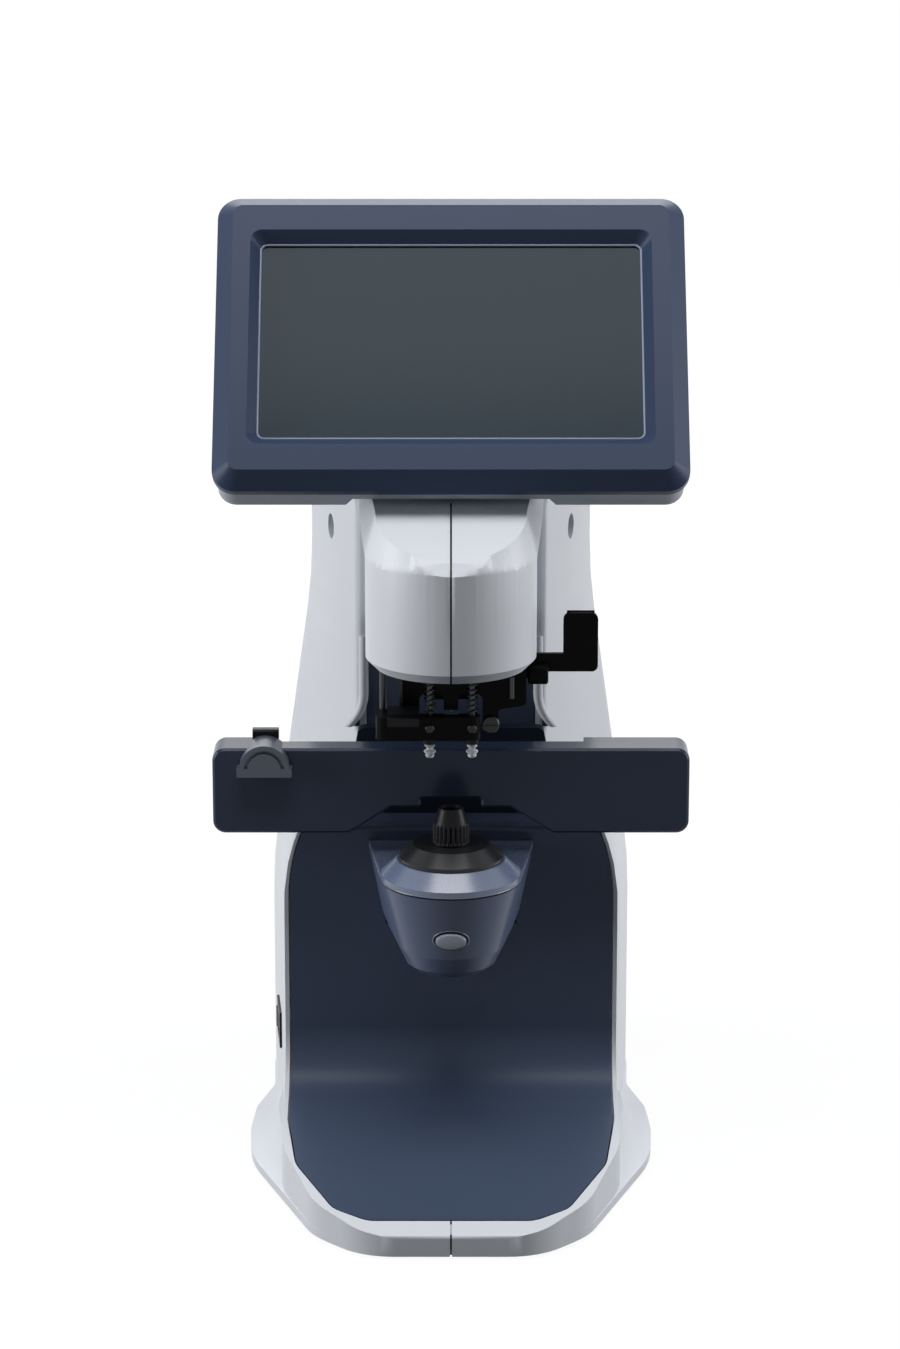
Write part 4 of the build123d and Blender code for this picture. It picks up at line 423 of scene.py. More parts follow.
# After name and colour: roughness; specular, metallic or refraction; then the relief's depth
FINISHES: dict[str, Finish] = {
    # Off-white ABS, spark-eroded: the soft, faintly blue white of instrument covers
    "white_shell": MouldedPlastic("abs_white_moulded", "#dde1e8", 0.42, 0.4, 0.012, grain=0.6,
                                  mottle=0.012),
    # The same ABS in light grey, on the display's back
    "pale_shell": MouldedPlastic("abs_pale_grey_moulded", "#a6adb8", 0.45, 0.4, 0.012, grain=0.6,
                                 mottle=0.015),
    # Navy satin paint on moulded panels: dark face on, lit where it bends to the light
    "navy_panel": SprayedPaint("navy_satin_paint", "#414d63", 0.38, 0.18),
    # The same navy with more gloss on the lens table, which mirrors the nosepiece faintly
    "navy_gloss": SprayedPaint("navy_semi_gloss_paint", "#333e54", 0.2, 0.12, 0.003, peel=2.2),
    # Navy paint with a dry sparkle on the display's bezel
    "navy_bezel": SprayedPaint("navy_bezel_paint", "#33405a", 0.3, 0.11, 0.008, peel=0.8),
    # The navy darkened as painted shade, for the rods' housing in the shade of the table
    "navy_shade": SprayedPaint("navy_painted_shade", "#232b38", 0.5, 0.05),
    # Slate paint on the stage's bowl: a broad soft sheen down its round front
    "stage_dark": SprayedPaint("slate_bowl_paint", "#54607a", 0.3, 0.25),
    # The collar's glossier slate, which catches the lamps as a pale band
    "stage_grey": SprayedPaint("slate_collar_paint", "#64718c", 0.27, 0.75),
    # Slate ABS of the nose slider: plain, with a dull edge light
    "slider_grey": MouldedPlastic("abs_slate_moulded", "#4a5261", 0.36, 0.5, 0.008, grain=0.4),
    # Black acetal and nylon, tumbled smooth: nearly no sheen
    "black_plastic": MouldedPlastic("acetal_black_moulded", "#121317", 0.34, 0.12, 0.008,
                                    grain=0.35),
    # The stage's cone, polished: a grey sheen at its side
    "polished_black": MouldedPlastic("acetal_black_polished", "#1d1e22", 0.3, 0.28, 0.006,
                                     grain=0.35),
    # Black powder coat on folded sheet: a dead black with a pebbled skin
    "black_metal": MouldedPlastic("powder_coat_black", "#08080a", 0.4, 0.04, 0.02, grain=0.45),
    # Turned and anodised black: faint rings of light
    "black_alloy": WorkedMetal("aluminium_black_anodised", "#17181b", 0.35, 0.6),
    # Ground rods and rails: bright, drawn out along their length
    "steel": WorkedMetal("steel_ground", "#b4b6b9", 0.25, 1.0, run=Run.ALONG_Y),
    # Zinc-plated sheet: grey and cloudy
    "steel_plate": WorkedMetal("steel_zinc_plated", "#9a9da3", 0.4, 1.0, run=Run.ALONG_X,
                               line=0.8),
    # Turned and blackened: near black with small dull highlights
    "blackened_steel": WorkedMetal("steel_blackened", "#35373b", 0.32, 0.8),
    # Screw heads, darker still, so that only their rims show
    "blackened_screw": WorkedMetal("steel_blackened_screw", "#17181a", 0.3, 0.6),
    # Sand casting of the inner frame: coarse and grey
    "cast_alloy": MouldedPlastic("aluminium_sand_cast", "#8d9094", 0.55, 0.6, 0.06, grain=0.9,
                                 mottle=0.08),
    # Turned bushes: warm yellow rings
    "brass": WorkedMetal("brass_turned", "#b59a5a", 0.28, 1.0),
    # Feet: dull black that takes no light
    "rubber": MouldedPlastic("rubber_black_moulded", "#1b1b1c", 0.7, 0.3, 0.03, grain=0.8),
    # Soft tips: clear with a milky body, so that they stand out pale before the table
    "clear_silicone": ClearSolid("silicone_clear_moulded", "#f2f6fa", 0.15, 1.41, cloud=0.55),
    # Lens and cover glass: all but unseen apart from their rims
    "clear_glass": ClearSolid("glass_polished", "#f4fafc", 0.02, 1.52),
    # Silver paint on the read button: a pale oval in the dark bowl
    "silver_button": MouldedPlastic("abs_silver_painted", "#8b93a1", 0.3, 0.5, 0.006, grain=0.3),
    # Pale slate lip of the display's opening, a painted highlight: one thin line under the screen
    "painted_highlight_bead": MouldedPlastic("abs_slate_painted_highlight", "#8d99ae", 0.25, 0.6, 0.004, grain=0.3),
    # Circuit boards inside: deep green with paler tracks
    "board": CircuitBoard("board_solder_mask", "#0d3d26", "#1b5a38"),
    # Coated cover glass over a dark panel: a deep teal grey with a soft sheen
    "screen": SprayedPaint("screen_glass_coated", "#2b3943", 0.14, 0.07, 0.001, peel=30.0,
                           mottle=0.02),
}


# Nodes whose finish differs from that of their material slot
NODE_FINISHES: dict[str, str] = {
    **dict.fromkeys(("holder_rod", "tip_pins", "tip_springs", "stop_pin", "marker_needles",
                     "carriage_guide"), "blackened_steel"),
    **dict.fromkeys(("holder_screws", "marker_screws", "side_strip"), "blackened_screw"),
    # the housing's darker navy is painted shade from the table above it
    "rod_housing": "navy_shade",
    "stage_disc": "polished_black",
}


@dataclass
class Finisher:
    """Makes each finish once and puts it on the CAD nodes by their material slots."""

    made: dict[str, bpy.types.Material] = field(default_factory=dict)

    def material(self, slot: str) -> bpy.types.Material:
        """Look up a material, and make it the first time it is asked for.

        Args:
            slot: A key of the finishes.

        Returns:
            The material.
        """
        if slot not in self.made:
            self.made[slot] = FINISHES[slot].make()
        return self.made[slot]

    def dress_frame(self) -> int:
        """Dress every CAD node by the slot that the record gives it, or by its own finish.

        Returns:
            How many nodes were dressed.
        """
        parts = frame["record"]["subparts"]
        for part in parts:
            name = part["node"]
            materials = frame["nodes"][name].data.materials
            materials.clear()
            materials.append(self.material(NODE_FINISHES.get(name, part["material_slot"])))
        return len(parts)


@dataclass(frozen=True)
class SoftBox:
    """A rectangular lamp that the camera doesn't see."""

    name: str
    place: Triple  # metres
    turn: Triple  # degrees; unturned it shines down
    size: Span  # metres
    power: float  # watts

    def hang(self) -> None:
        """Put the lamp into the scene."""
        data = bpy.data.lights.new(self.name, "AREA")
        data.shape = "RECTANGLE"
        data.size, data.size_y = self.size
        data.energy = self.power
        lamp = bpy.data.objects.new(self.name, data)
        lamp.location = self.place
        lamp.rotation_euler = [radians(t) for t in self.turn]
        lamp.visible_camera = False
        bpy.context.scene.collection.objects.link(lamp)


@dataclass
class Studio:
    """Camera, pale floor and soft lamps of a plain product picture, in metres."""

    camera_place: Triple = (-0.0004, -1.612, 0.633)
    camera_pitch: float = 75.4  # degrees from straight down
    lens: float = 104.6  # millimetres
    sensor: float = 36.0  # millimetres along the long side
    floor_half: float = 6.0
    floor_steps: int = 25
    fill: float = 0.02  # strength of the even light from all round
    lamps: tuple[SoftBox, ...] = (
        SoftBox("top_box", (0.0, -0.4, 1.7), (0, 0, 0), (1.2, 0.7), 18.0),
        SoftBox("left_box", (-1.5, -0.25, 0.6), (0, -90, 0), (1.1, 0.7), 17.0),
        SoftBox("right_box", (1.5, 0.05, 0.6), (0, 90, 0), (1.1, 0.7), 13.5),
        SoftBox("back_box", (0.0, 2.2, 1.3), (-60, 0, 0), (2.0, 0.9), 12.0))

    def make_camera(self) -> None:
        """Place the camera at the photograph's viewing angle."""
        data = bpy.data.cameras.new("camera")
        data.lens = self.lens
        data.sensor_width = self.sensor
        camera = bpy.data.objects.new("camera", data)
        camera.location = self.camera_place
        camera.rotation_euler = (radians(self.camera_pitch), 0.0, 0.0)
        bpy.context.scene.collection.objects.link(camera)
        bpy.context.scene.camera = camera

    def make_floor(self) -> None:
        """Lay a level floor, a square grid at height zero, that shows white and keeps a shadow."""
        side = np.linspace(-self.floor_half, self.floor_half, self.floor_steps)
        x, y = np.meshgrid(side, side)
        points = np.stack([x, y, np.zeros_like(x)], axis=-1).reshape(-1, 3)
        floor = mesh_object("floor", points, grid_faces(self.floor_steps, self.floor_steps))
        floor.data.materials.append(PaperSweep("paper_floor_matt", "#494b4e").make())

    def make_world(self) -> None:
        """Make the surroundings: white where they are seen, and a low even fill as light."""
        world = bpy.data.worlds.new("surroundings")
        world.use_nodes = True
        bpy.context.scene.world = world
        tree = world.node_tree
        tree.nodes.clear()
        dim = add(tree, "ShaderNodeBackground", {"Color": linear("#eef2f7"),
                                                 "Strength": self.fill})
        white = add(tree, "ShaderNodeBackground", {"Color": linear("#ffffff"), "Strength": 1.0})
        mix = add(tree, "ShaderNodeMixShader",
                  links={0: seen_rays(tree), 1: dim.outputs[0], 2: white.outputs[0]})
        add(tree, "ShaderNodeOutputWorld", links={"Surface": mix.outputs[0]})

    def make(self) -> None:
        """Build the whole studio."""
        self.make_camera()
        self.make_floor()
        self.make_world()
        for lamp in self.lamps:
            lamp.hang()
        bpy.context.scene.view_settings.view_transform = "Standard"


def grid_faces(rows: int, columns: int, closed: bool = False,
               looped: bool = False) -> np.ndarray:
    """Quads of a grid of points laid out row by row.

    Args:
        rows: Points along the first parameter.
        columns: Points along the second parameter.
        closed: Whether the last column joins the first.
        looped: Whether the last row joins the first.

    Returns:
        Four point numbers for each quad.
    """
    across = columns if closed else columns - 1
    down = rows if looped else rows - 1
    row, column = np.meshgrid(np.arange(down), np.arange(across), indexing="ij")
    beside = (column + 1) % columns
    below = (row + 1) % rows
    quads = np.stack([row * columns + column, row * columns + beside,
                      below * columns + beside, below * columns + column], axis=-1)
    return quads.reshape(-1, 4)


def box_mm(node: str) -> tuple[np.ndarray, np.ndarray]:
    """Lowest and highest corner of a CAD node, in millimetres."""
    low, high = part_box(node)
    return np.array(low) / MM, np.array(high) / MM


def read_all(items: bpy.types.bpy_prop_collection, name: str, width: int = 1,
             kind: type = float) -> np.ndarray:
    """Read one property of all of a mesh's points, edges, corners or faces.

    Args:
        items: The collection.
        name: The property.
        width: Numbers that each item gives.
        kind: Their type.

    Returns:
        An array with a row for each item.
    """
    flat = np.empty(len(items) * width, dtype=kind)
    items.foreach_get(name, flat)
    return flat.reshape(-1, width) if width > 1 else flat


def circle(radius: float, sides: int) -> np.ndarray:
    """Corners (r cos t, r sin t) of a round section."""
    turn = np.linspace(0, FULL_TURN, sides, endpoint=False)
    return np.stack([radius * np.cos(turn), radius * np.sin(turn)], axis=-1)


def lathe(profile: np.ndarray, sides: int, waves: int = 0,
          cuts: np.ndarray | None = None) -> np.ndarray:
    """Turn a profile round an upright axis through the origin.

    A point is (r cos t, r sin t, h). Its r is the profile's radius less the row's cut times the
    square of (1 + cos(waves t)) / 2, which leaves round ridges between narrow grooves.

    Args:
        profile: Radius and height of each row.
        sides: Points round the axis.
        waves: How many grooves there are.
        cuts: Depth of the grooves in each row, if there are any.

    Returns:
        Points in an array of rows, sides and 3.
    """
    turn = np.linspace(0, FULL_TURN, sides, endpoint=False)
    depth = np.zeros(len(profile)) if cuts is None else cuts
    radius = profile[:, :1] - depth[:, None] * ((1 + np.cos(waves * turn)) / 2)[None, :] ** 2
    height = np.repeat(profile[:, 1:], sides, axis=1)
    return np.stack([radius * np.cos(turn), radius * np.sin(turn), height], axis=-1)


def capped(rows: np.ndarray) -> np.ndarray:
    """Close both ends of rows of points on the middles of the end rows."""
    caps = np.repeat(rows[[0, -1]].mean(axis=1, keepdims=True), rows.shape[1], axis=1)
    return np.concatenate([caps[:1], rows, caps[1:]])


def carried(path: np.ndarray, sideways: np.ndarray, upwards: np.ndarray,
            section: np.ndarray | list[tuple[float, float]], looped: bool = False) -> np.ndarray:
    """Carry a closed section along a path.

    A point is the path's point plus the section's first number times the sideways vector there
    and its second number times the upwards vector.

    Args:
        path: Points of the path.
        sideways: A unit vector for each of them.
        upwards: Another one, square to it.
        section: The section's corners.
        looped: Whether the path comes back to its start; otherwise its ends are closed.

    Returns:
        Points in an array of rows, corners and 3.
    """
    corners = np.array(section)
    rows = (path[:, None, :] + corners[None, :, :1] * sideways[:, None, :]
            + corners[None, :, 1:] * upwards[:, None, :])
    return rows if looped else capped(rows)


def mesh_object(name: str, points: np.ndarray, faces: np.ndarray) -> bpy.types.Object:
    """Make a mesh object at the origin.

    Args:
        name: Name of the object and of its mesh.
        points: One row of three numbers for each point, in metres.
        faces: Point numbers of each face.

    Returns:
        The object, in the scene.
    """
    mesh = bpy.data.meshes.new(name)
    mesh.from_pydata(points.tolist(), [], faces.tolist())
    mesh.validate()
    made = bpy.data.objects.new(name, mesh)
    bpy.context.scene.collection.objects.link(made)
    return made


@dataclass
class Assembly:
    """A group of pieces with one finisher."""

    finisher: Finisher

    def hand_over(self, made: bpy.types.Object, body: str, slot: str, finish: str | None = None,
                  stands_for: tuple[str, ...] = ()) -> None:
        """Dress a finished piece, tell the frame what it belongs to and report it.

        Args:
            made: The piece.
            body: The body it moves with.
            slot: The record's material slot that it belongs to.
            finish: Its finish, where that isn't the slot's own.
            stands_for: CAD nodes that it is shown for.
        """
        made.data.materials.clear()
        made.data.materials.append(self.finisher.material(finish or slot))
        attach(made, body)
        if stands_for:
            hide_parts(*stands_for)
        LOG.info("%s: %d faces on %s", made.name, len(made.data.polygons), body)

    def piece(self, name: str, body: str, slot: str, points: np.ndarray, looped: bool = False,
              finish: str | None = None, stands_for: tuple[str, ...] = ()) -> None:
        """Make a closed piece from rows of points in millimetres, and hand it over.

        Args:
            name: The piece's name.
            body: As in hand_over.
            slot: As in hand_over.
            points: Array of rows, columns and 3. The columns close on themselves.
            looped: Whether the rows close on themselves too.
            finish: As in hand_over.
            stands_for: As in hand_over.
        """
        faces = grid_faces(*points.shape[:2], True, looped)
        made = mesh_object(name, points.reshape(-1, 3) * MM, faces)
        shape = bmesh.new()
        shape.from_mesh(made.data)
        bmesh.ops.remove_doubles(shape, verts=shape.verts, dist=WELD)
        bmesh.ops.recalc_face_normals(shape, faces=shape.faces)
        shape.to_mesh(made.data)
        shape.free()
        polygons = made.data.polygons
        polygons.foreach_set("use_smooth", np.ones(len(polygons), dtype=bool))
        made.data.set_sharp_from_angle(angle=SHARP_ANGLE)
        self.hand_over(made, body, slot, finish, stands_for)


@dataclass
class Nosepiece(Assembly):
    """Fluted barrel and cone that carry the lens being measured."""

    flutes: int = 24
    flute_depth: float = 0.75
    sides: int = 240
    stem: float = 5.0  # radius and height of the stem under the barrel
    rim: float = 5.2  # radius of the ring at the top
    bore: float = 3.8  # radius

    def make(self) -> None:
        """Turn a closed profile up the outside and down the bore, with grooves in the barrel."""
        low, high = box_mm("nosepiece")
        middle = (low + high) / 2
        wide = (high[0] - low[0]) / 2
        bottom, foot, top = low[2], low[2] + self.stem, high[2]
        rows = np.array([  # radius, height and share of the full groove
            (self.bore, bottom, 0), (self.stem, bottom, 0), (self.stem, foot, 0),
            (wide - 0.4, foot, 0), (wide, foot + 0.4, 0), (wide, foot + 1.0, 0),
            (wide, foot + 1.4, 0.6), (wide, foot + 1.8, 1), (wide, top - 7.6, 1),
            (wide - 0.1, top - 7.1, 0.9), (wide - 0.2, top - 6.7, 0.4),
            (wide - 0.35, top - 6.3, 0), (wide - 0.8, top - 5.6, 0),
            (self.rim + 0.35, top - 1.5, 0), (self.rim + 0.1, top - 1.0, 0),
            (self.rim, top - 0.4, 0), (self.rim - 0.35, top, 0), (self.bore + 0.5, top, 0),
            (self.bore + 0.1, top - 0.3, 0), (self.bore, top - 0.8, 0)])
        points = lathe(rows[:, :2], self.sides, self.flutes, rows[:, 2] * self.flute_depth)
        self.piece("nosepiece_fluted", "nosepiece", "black_plastic",
                   points + [middle[0], middle[1], 0], looped=True, stands_for=("nosepiece",))


@dataclass
class LensTips(Assembly):
    """Two clear soft tips: a cap, a waist, a collar and a rounded bulb each."""

    sides: int = 48
    drawn_radius: float = 2.2  # that of the CAD tip which the profile was drawn for
    neck: float = 1.7  # radius at the top
    # Radius and height over the foot, from the bulb up to the cap
    profile: Pairs = (
        (0.0, 0.0), (0.9, 0.08), (1.5, 0.4), (1.85, 1.0), (1.9, 1.6), (1.75, 2.0), (1.8, 2.2),
        (2.45, 2.5), (2.55, 2.9), (2.3, 3.3), (1.6, 3.6), (1.5, 4.3), (1.6, 4.7), (2.15, 5.0),
        (2.2, 5.4), (2.0, 5.8))

    def make(self) -> None:
        """Turn each tip from its bulb upwards, closed on the axis at both ends."""
        low, high = box_mm("holder_tips")
        radius = (high[1] - low[1]) / 2
        apart = high[0] - radius
        tall = high[2] - low[2]
        rows = np.array([*self.profile, (self.neck, tall), (0.0, tall)])
        rows[:, 0] *= radius / self.drawn_radius
        rows[:, 1] += low[2]
        for side, name in ((-1, "tip_left_spool"), (1, "tip_right_spool")):
            points = lathe(rows, self.sides) + [side * apart, (low[1] + high[1]) / 2, 0]
            self.piece(name, "lens_holder", "clear_silicone", points,
                       stands_for=("holder_tips",))


@dataclass
class StageLines(Assembly):
    """Dark seam between the stage's collar and bowl, and the bowl's surface for what lies on it."""

    radius: float = 29.0
    root_half: float = 35.0
    seam_half: float = 0.32  # half height of the dark line
    arc_steps: int = 72
    flank_steps: int = 12
    drawn_in: float = 7.2  # how much narrower the bowl is at its lower level
    lower_level: float = 28.0  # how far that level lies below the seam

    def bowl_y(self, x: np.ndarray, z: np.ndarray) -> np.ndarray:
        """Y of the bowl's front: the axis less the root of r squared less x squared, on a cone."""
        radius = self.radius - self.drawn_in * (self.seam_height() - z) / self.lower_level
        return self.axis_y() - np.sqrt(radius ** 2 - x ** 2)

    def axis_y(self) -> float:
        """Y of the optical axis, a radius behind the collar's front."""
        return box_mm("stage_collar")[0][1] + self.radius

    def seam_height(self) -> float:
        """Height of the bowl's upper edge."""
        return box_mm("stage_collar")[0][2]

    def outline(self) -> tuple[np.ndarray, np.ndarray]:
        """Plan outline of the seam: an arc round the axis with straight flanks tangent to it.

        Returns:
            The points and their outward unit vectors.
        """
        back = box_mm("stage_collar")[1][1]
        reach = back - self.axis_y()
        turn = (np.arccos(self.radius / np.hypot(self.root_half, reach))
                - np.arctan2(reach, self.root_half))
        angles = np.linspace(-np.pi + turn, -turn, self.arc_steps)
        out = np.stack([np.cos(angles), np.sin(angles), np.zeros_like(angles)], axis=-1)
        arc = out * self.radius + [0, self.axis_y(), self.seam_height()]
        share = np.linspace(1, 0, self.flank_steps, endpoint=False)[:, None]
        root = np.array([-self.root_half, back, self.seam_height()])
        left = arc[0] + (root - arc[0]) * share
        right = left[::-1] * [-1, 1, 1]
        left_out = np.repeat(out[:1], self.flank_steps, axis=0)
        right_out = np.repeat(out[-1:], self.flank_steps, axis=0)
        return np.concatenate([left, arc, right]), np.concatenate([left_out, out, right_out])

    def make(self) -> None:
        """Carry two thin sections along the outline: the dark line, and the collar's lip on it."""
        path, out = self.outline()
        up = np.zeros_like(path) + [0, 0, 1]
        half = self.seam_half
        # Corners: how far out of the wall, and height over the seam's middle
        seam = [(-0.8, -half), (0.1, -half), (0.14, 0), (0.1, half), (-0.8, half)]
        lip = [(-0.6, half), (0.12, half), (0.26, half + 0.14), (0.2, half + 0.36),
               (-0.6, half + 0.5)]
        self.piece("stage_seam", "root", "black_plastic", carried(path, out, up, seam))
        self.piece("collar_lip", "root", "stage_grey", carried(path, out, up, lip))


@dataclass
class ReadButton(Assembly):
    """Oval button in the bowl, with the thin lip round it and a black ring in the gap as painted
    shade.
    """

    sides: int = 96
    half_wide: float = 6.3
    half_tall: float = 3.45
    dome: float = 0.5  # how far the middle stands out over the edge
    dome_rows: tuple[float, ...] = (0, 0.2, 0.4, 0.6, 0.75, 0.86)  # shares of the half sizes
    # Edge behind the dome: shares of the half width and half height, and Y behind the face
    rim_rows: tuple[Triple, ...] = ((0.94, 0.92, 0.05), (0.985, 0.975, 0.25), (1, 1, 0.6))
    gap_inner: float = 0.12  # how far the gap's ring begins outside the button
    lip_inner: float = 0.97  # the same of the lip's ring
    # Corners of both rings: how far outwards from there, and how far out of the bowl
    gap_ring: Pairs = ((0, -1.2), (0, 0.1), (0.85, 0.16), (0.85, -1.2))
    lip_ring: Pairs = (
        (0, -0.6), (0, 0.2), (0.12, 0.3), (0.3, 0.22), (0.42, 0.02), (0.42, -0.6))

    def oval(self, rows: list[tuple[float, float, float]]) -> np.ndarray:
        """Points of ovals one behind the other.

        Args:
            rows: Half width, half height and Y of each oval.

        Returns:
            Points in an array of rows, sides and 3; x = a cos t, z = b sin t.
        """
        turn = np.linspace(0, FULL_TURN, self.sides, endpoint=False)
        sizes = np.array(rows)
        return np.stack([sizes[:, :1] * np.cos(turn),
                         np.repeat(sizes[:, 2:], self.sides, axis=1),
                         sizes[:, 1:2] * np.sin(turn)], axis=-1)

    def make(self, stage: StageLines) -> None:
        """Make the domed cap, and the two rings that lie on the bowl.

        The dome's Y is the face less the dome times one less the square of the row's share.

        Args:
            stage: Gives the bowl's surface.
        """
        low, high = box_mm("read_button")
        face, back = low[1], high[1]
        up = [0, 0, (low[2] + high[2]) / 2]
        a, b = self.half_wide, self.half_tall
        cap = [(a * s, b * s, face - self.dome * (1 - s * s)) for s in self.dome_rows]
        cap += [(a * wide, b * tall, face + y) for wide, tall, y in self.rim_rows]
        cap += [(a, b, back), (0, 0, back)]
        self.piece("button_cap", "read_button", "silver_button", self.oval(cap) + up,
                   stands_for=("read_button",))
        # the gap is a black ring of painted shade; the lip is the bowl's rim round it
        for name, slot, inner, ring in (
                ("button_gap", "black_plastic", self.gap_inner, self.gap_ring),
                ("button_lip", "stage_grey", self.lip_inner, self.lip_ring)):
            points = self.oval([(a + inner + out, b + inner + out, 0.0) for out, _ in ring]) + up
            rise = np.array(ring)[:, 1:]
            points[..., 1] = stage.bowl_y(points[..., 0], points[..., 2]) - rise
            self.piece(name, "root", slot, points, looped=True)


@dataclass
class DisplayBead(Assembly):
    """Rounded bead round the glass, whose pale colour is a painted highlight that shows as a bright
    line at its lower side.
    """

    edge: Triple = (0.0, -62.5, 305.7)  # middle of the bezel's lower edge
    tilt: float = radians(37.0)
    bezel_tall: float = 134.5
    wide: float = 157.5
    tall: float = 89.0
    corner: float = 3.0
    depth: float = 1.55  # height of the bead's middle over the bezel's widest outline
    bead: float = 0.55  # radius of the bead
    sides: int = 8
    corner_steps: int = 10

    def make(self) -> None:
        """Carry an octagon along a rectangle with rounded corners, in the display's plane."""
        up = np.array([0, np.sin(self.tilt), np.cos(self.tilt)])
        front = np.array([0, -np.cos(self.tilt), np.sin(self.tilt)])
        middle = np.array(self.edge) + up * self.bezel_tall / 2 + front * self.depth
        turns = np.linspace(0, np.pi / 2, self.corner_steps)
        turns = np.concatenate([turns + quarter * np.pi / 2 for quarter in range(4)])
        out = np.stack([np.cos(turns), np.sin(turns)], axis=-1)
        across = np.repeat([1, -1, -1, 1], self.corner_steps) * (self.wide / 2 - self.corner)
        along = np.repeat([1, 1, -1, -1], self.corner_steps) * (self.tall / 2 - self.corner)
        flat = np.stack([across, along], axis=-1) + out * self.corner
        path = middle + flat[:, :1] * [1, 0, 0] + flat[:, 1:] * up
        sideways = out[:, :1] * np.array([[1, 0, 0]]) + out[:, 1:] * up
        fronts = np.zeros_like(path) + front
        points = carried(path, sideways, fronts, circle(self.bead, self.sides), looped=True)
        # the bead's pale finish is a painted highlight
        self.piece("glass_bead", "display", "navy_bezel", points, True, "painted_highlight_bead")


@dataclass
class ThroatLips(Assembly):
    """White rounded lips of the covers beside the throat, which sweep outwards at their foot."""

    straight_half: float = 37.3
    foot_half: float = 44.0
    top: float = 227.0
    sweep_start: float = 203.0
    foot: float = 187.0
    face: float = 12.6  # Y of the centre line
    lip: float = 2.1  # radius
    lip_sides: int = 16
    bend: float = 2.4  # power of the sweep
    steps: int = 40
    inset: float = 2.0  # how far the dark side reaches inwards past the centre line
    side_front: float = 0.35  # how far it reaches before that line
    side_back: float = 1.2  # and how far behind it

    def path(self) -> np.ndarray:
        """Find the right lip's centre line: upright, then out by a power of the way down.

        Returns:
            Points from the top to the foot.
        """
        z = np.linspace(self.top, self.foot, self.steps)
        way = np.clip((self.sweep_start - z) / (self.sweep_start - self.foot), 0, 1)
        x = self.straight_half + (self.foot_half - self.straight_half) * way ** self.bend
        return np.stack([x, np.full_like(z, self.face), z], axis=-1)

    def make(self) -> None:
        """Carry a round section along each side's line, and fill in dark to the panel."""
        path = self.path()
        inner = np.full(self.steps, self.straight_half - self.inset)
        front, back = self.face - self.side_front, self.face + self.side_back
        corners = [(inner, front), (path[:, 0], front), (path[:, 0], back), (inner, back)]
        for side, name in ((-1, "left"), (1, "right")):
            line = path * [side, 1, 1]
            across = np.zeros_like(line) + [side, 0, 0]
            deep = np.zeros_like(line) + [0, 1, 0]
            self.piece(f"throat_lip_{name}", "root", "white_shell",
                       carried(line, across, deep, circle(self.lip, self.lip_sides)))
            rows = [np.stack([side * x, np.full_like(x, y), path[:, 2]], axis=-1)
                    for x, y in corners]
            self.piece(f"throat_side_{name}", "root", "navy_panel",
                       capped(np.stack(rows, axis=1)))


@dataclass
class CoverSeam(Assembly):
    """Thin black strips in the gap between the two covers, a little under their surface: painted
    shade for the gap.
    """

    half: float = 0.37  # half width of the gap
    shallow: float = 0.35  # how far under the surface a strip begins
    deep: float = 1.1  # and ends
    # Y and height along the covers' outline: over the head's front, then round the foot's
    head: Pairs = (
        (-85, 232), (-88.5, 232.3), (-91.6, 235.6), (-92, 237), (-92, 250), (-92, 264),
        (-92, 276.5), (-91.4, 277.8), (-88.4, 281.6), (-87, 282.5), (-74, 288.1), (-61, 293.8),
        (-50, 298.5))
    foot: Pairs = (
        (-128, 2.2), (-128, 5), (-128, 9.2), (-127, 10.4), (-124, 10.4), (-120, 10.4))

    def make(self) -> None:
        """Carry a flat section along each line, with its own direction's normal as outwards."""
        section = [(-self.deep, -self.half), (-self.shallow, -self.half),
                   (-self.shallow, self.half), (-self.deep, self.half)]
        for name, line in (("seam_head", self.head), ("seam_foot", self.foot)):
            flat = np.array(line, dtype=float)
            run = np.gradient(flat, axis=0)
            run /= np.linalg.norm(run, axis=1, keepdims=True)
            blank = np.zeros(len(flat))
            path = np.stack([blank, flat[:, 0], flat[:, 1]], axis=-1)
            outwards = np.stack([blank, -run[:, 1], run[:, 0]], axis=-1)
            across = np.stack([blank + 1, blank, blank], axis=-1)
            # the black strips are painted shade for the seam's gap
            self.piece(name, "root", "black_plastic", carried(path, outwards, across, section))


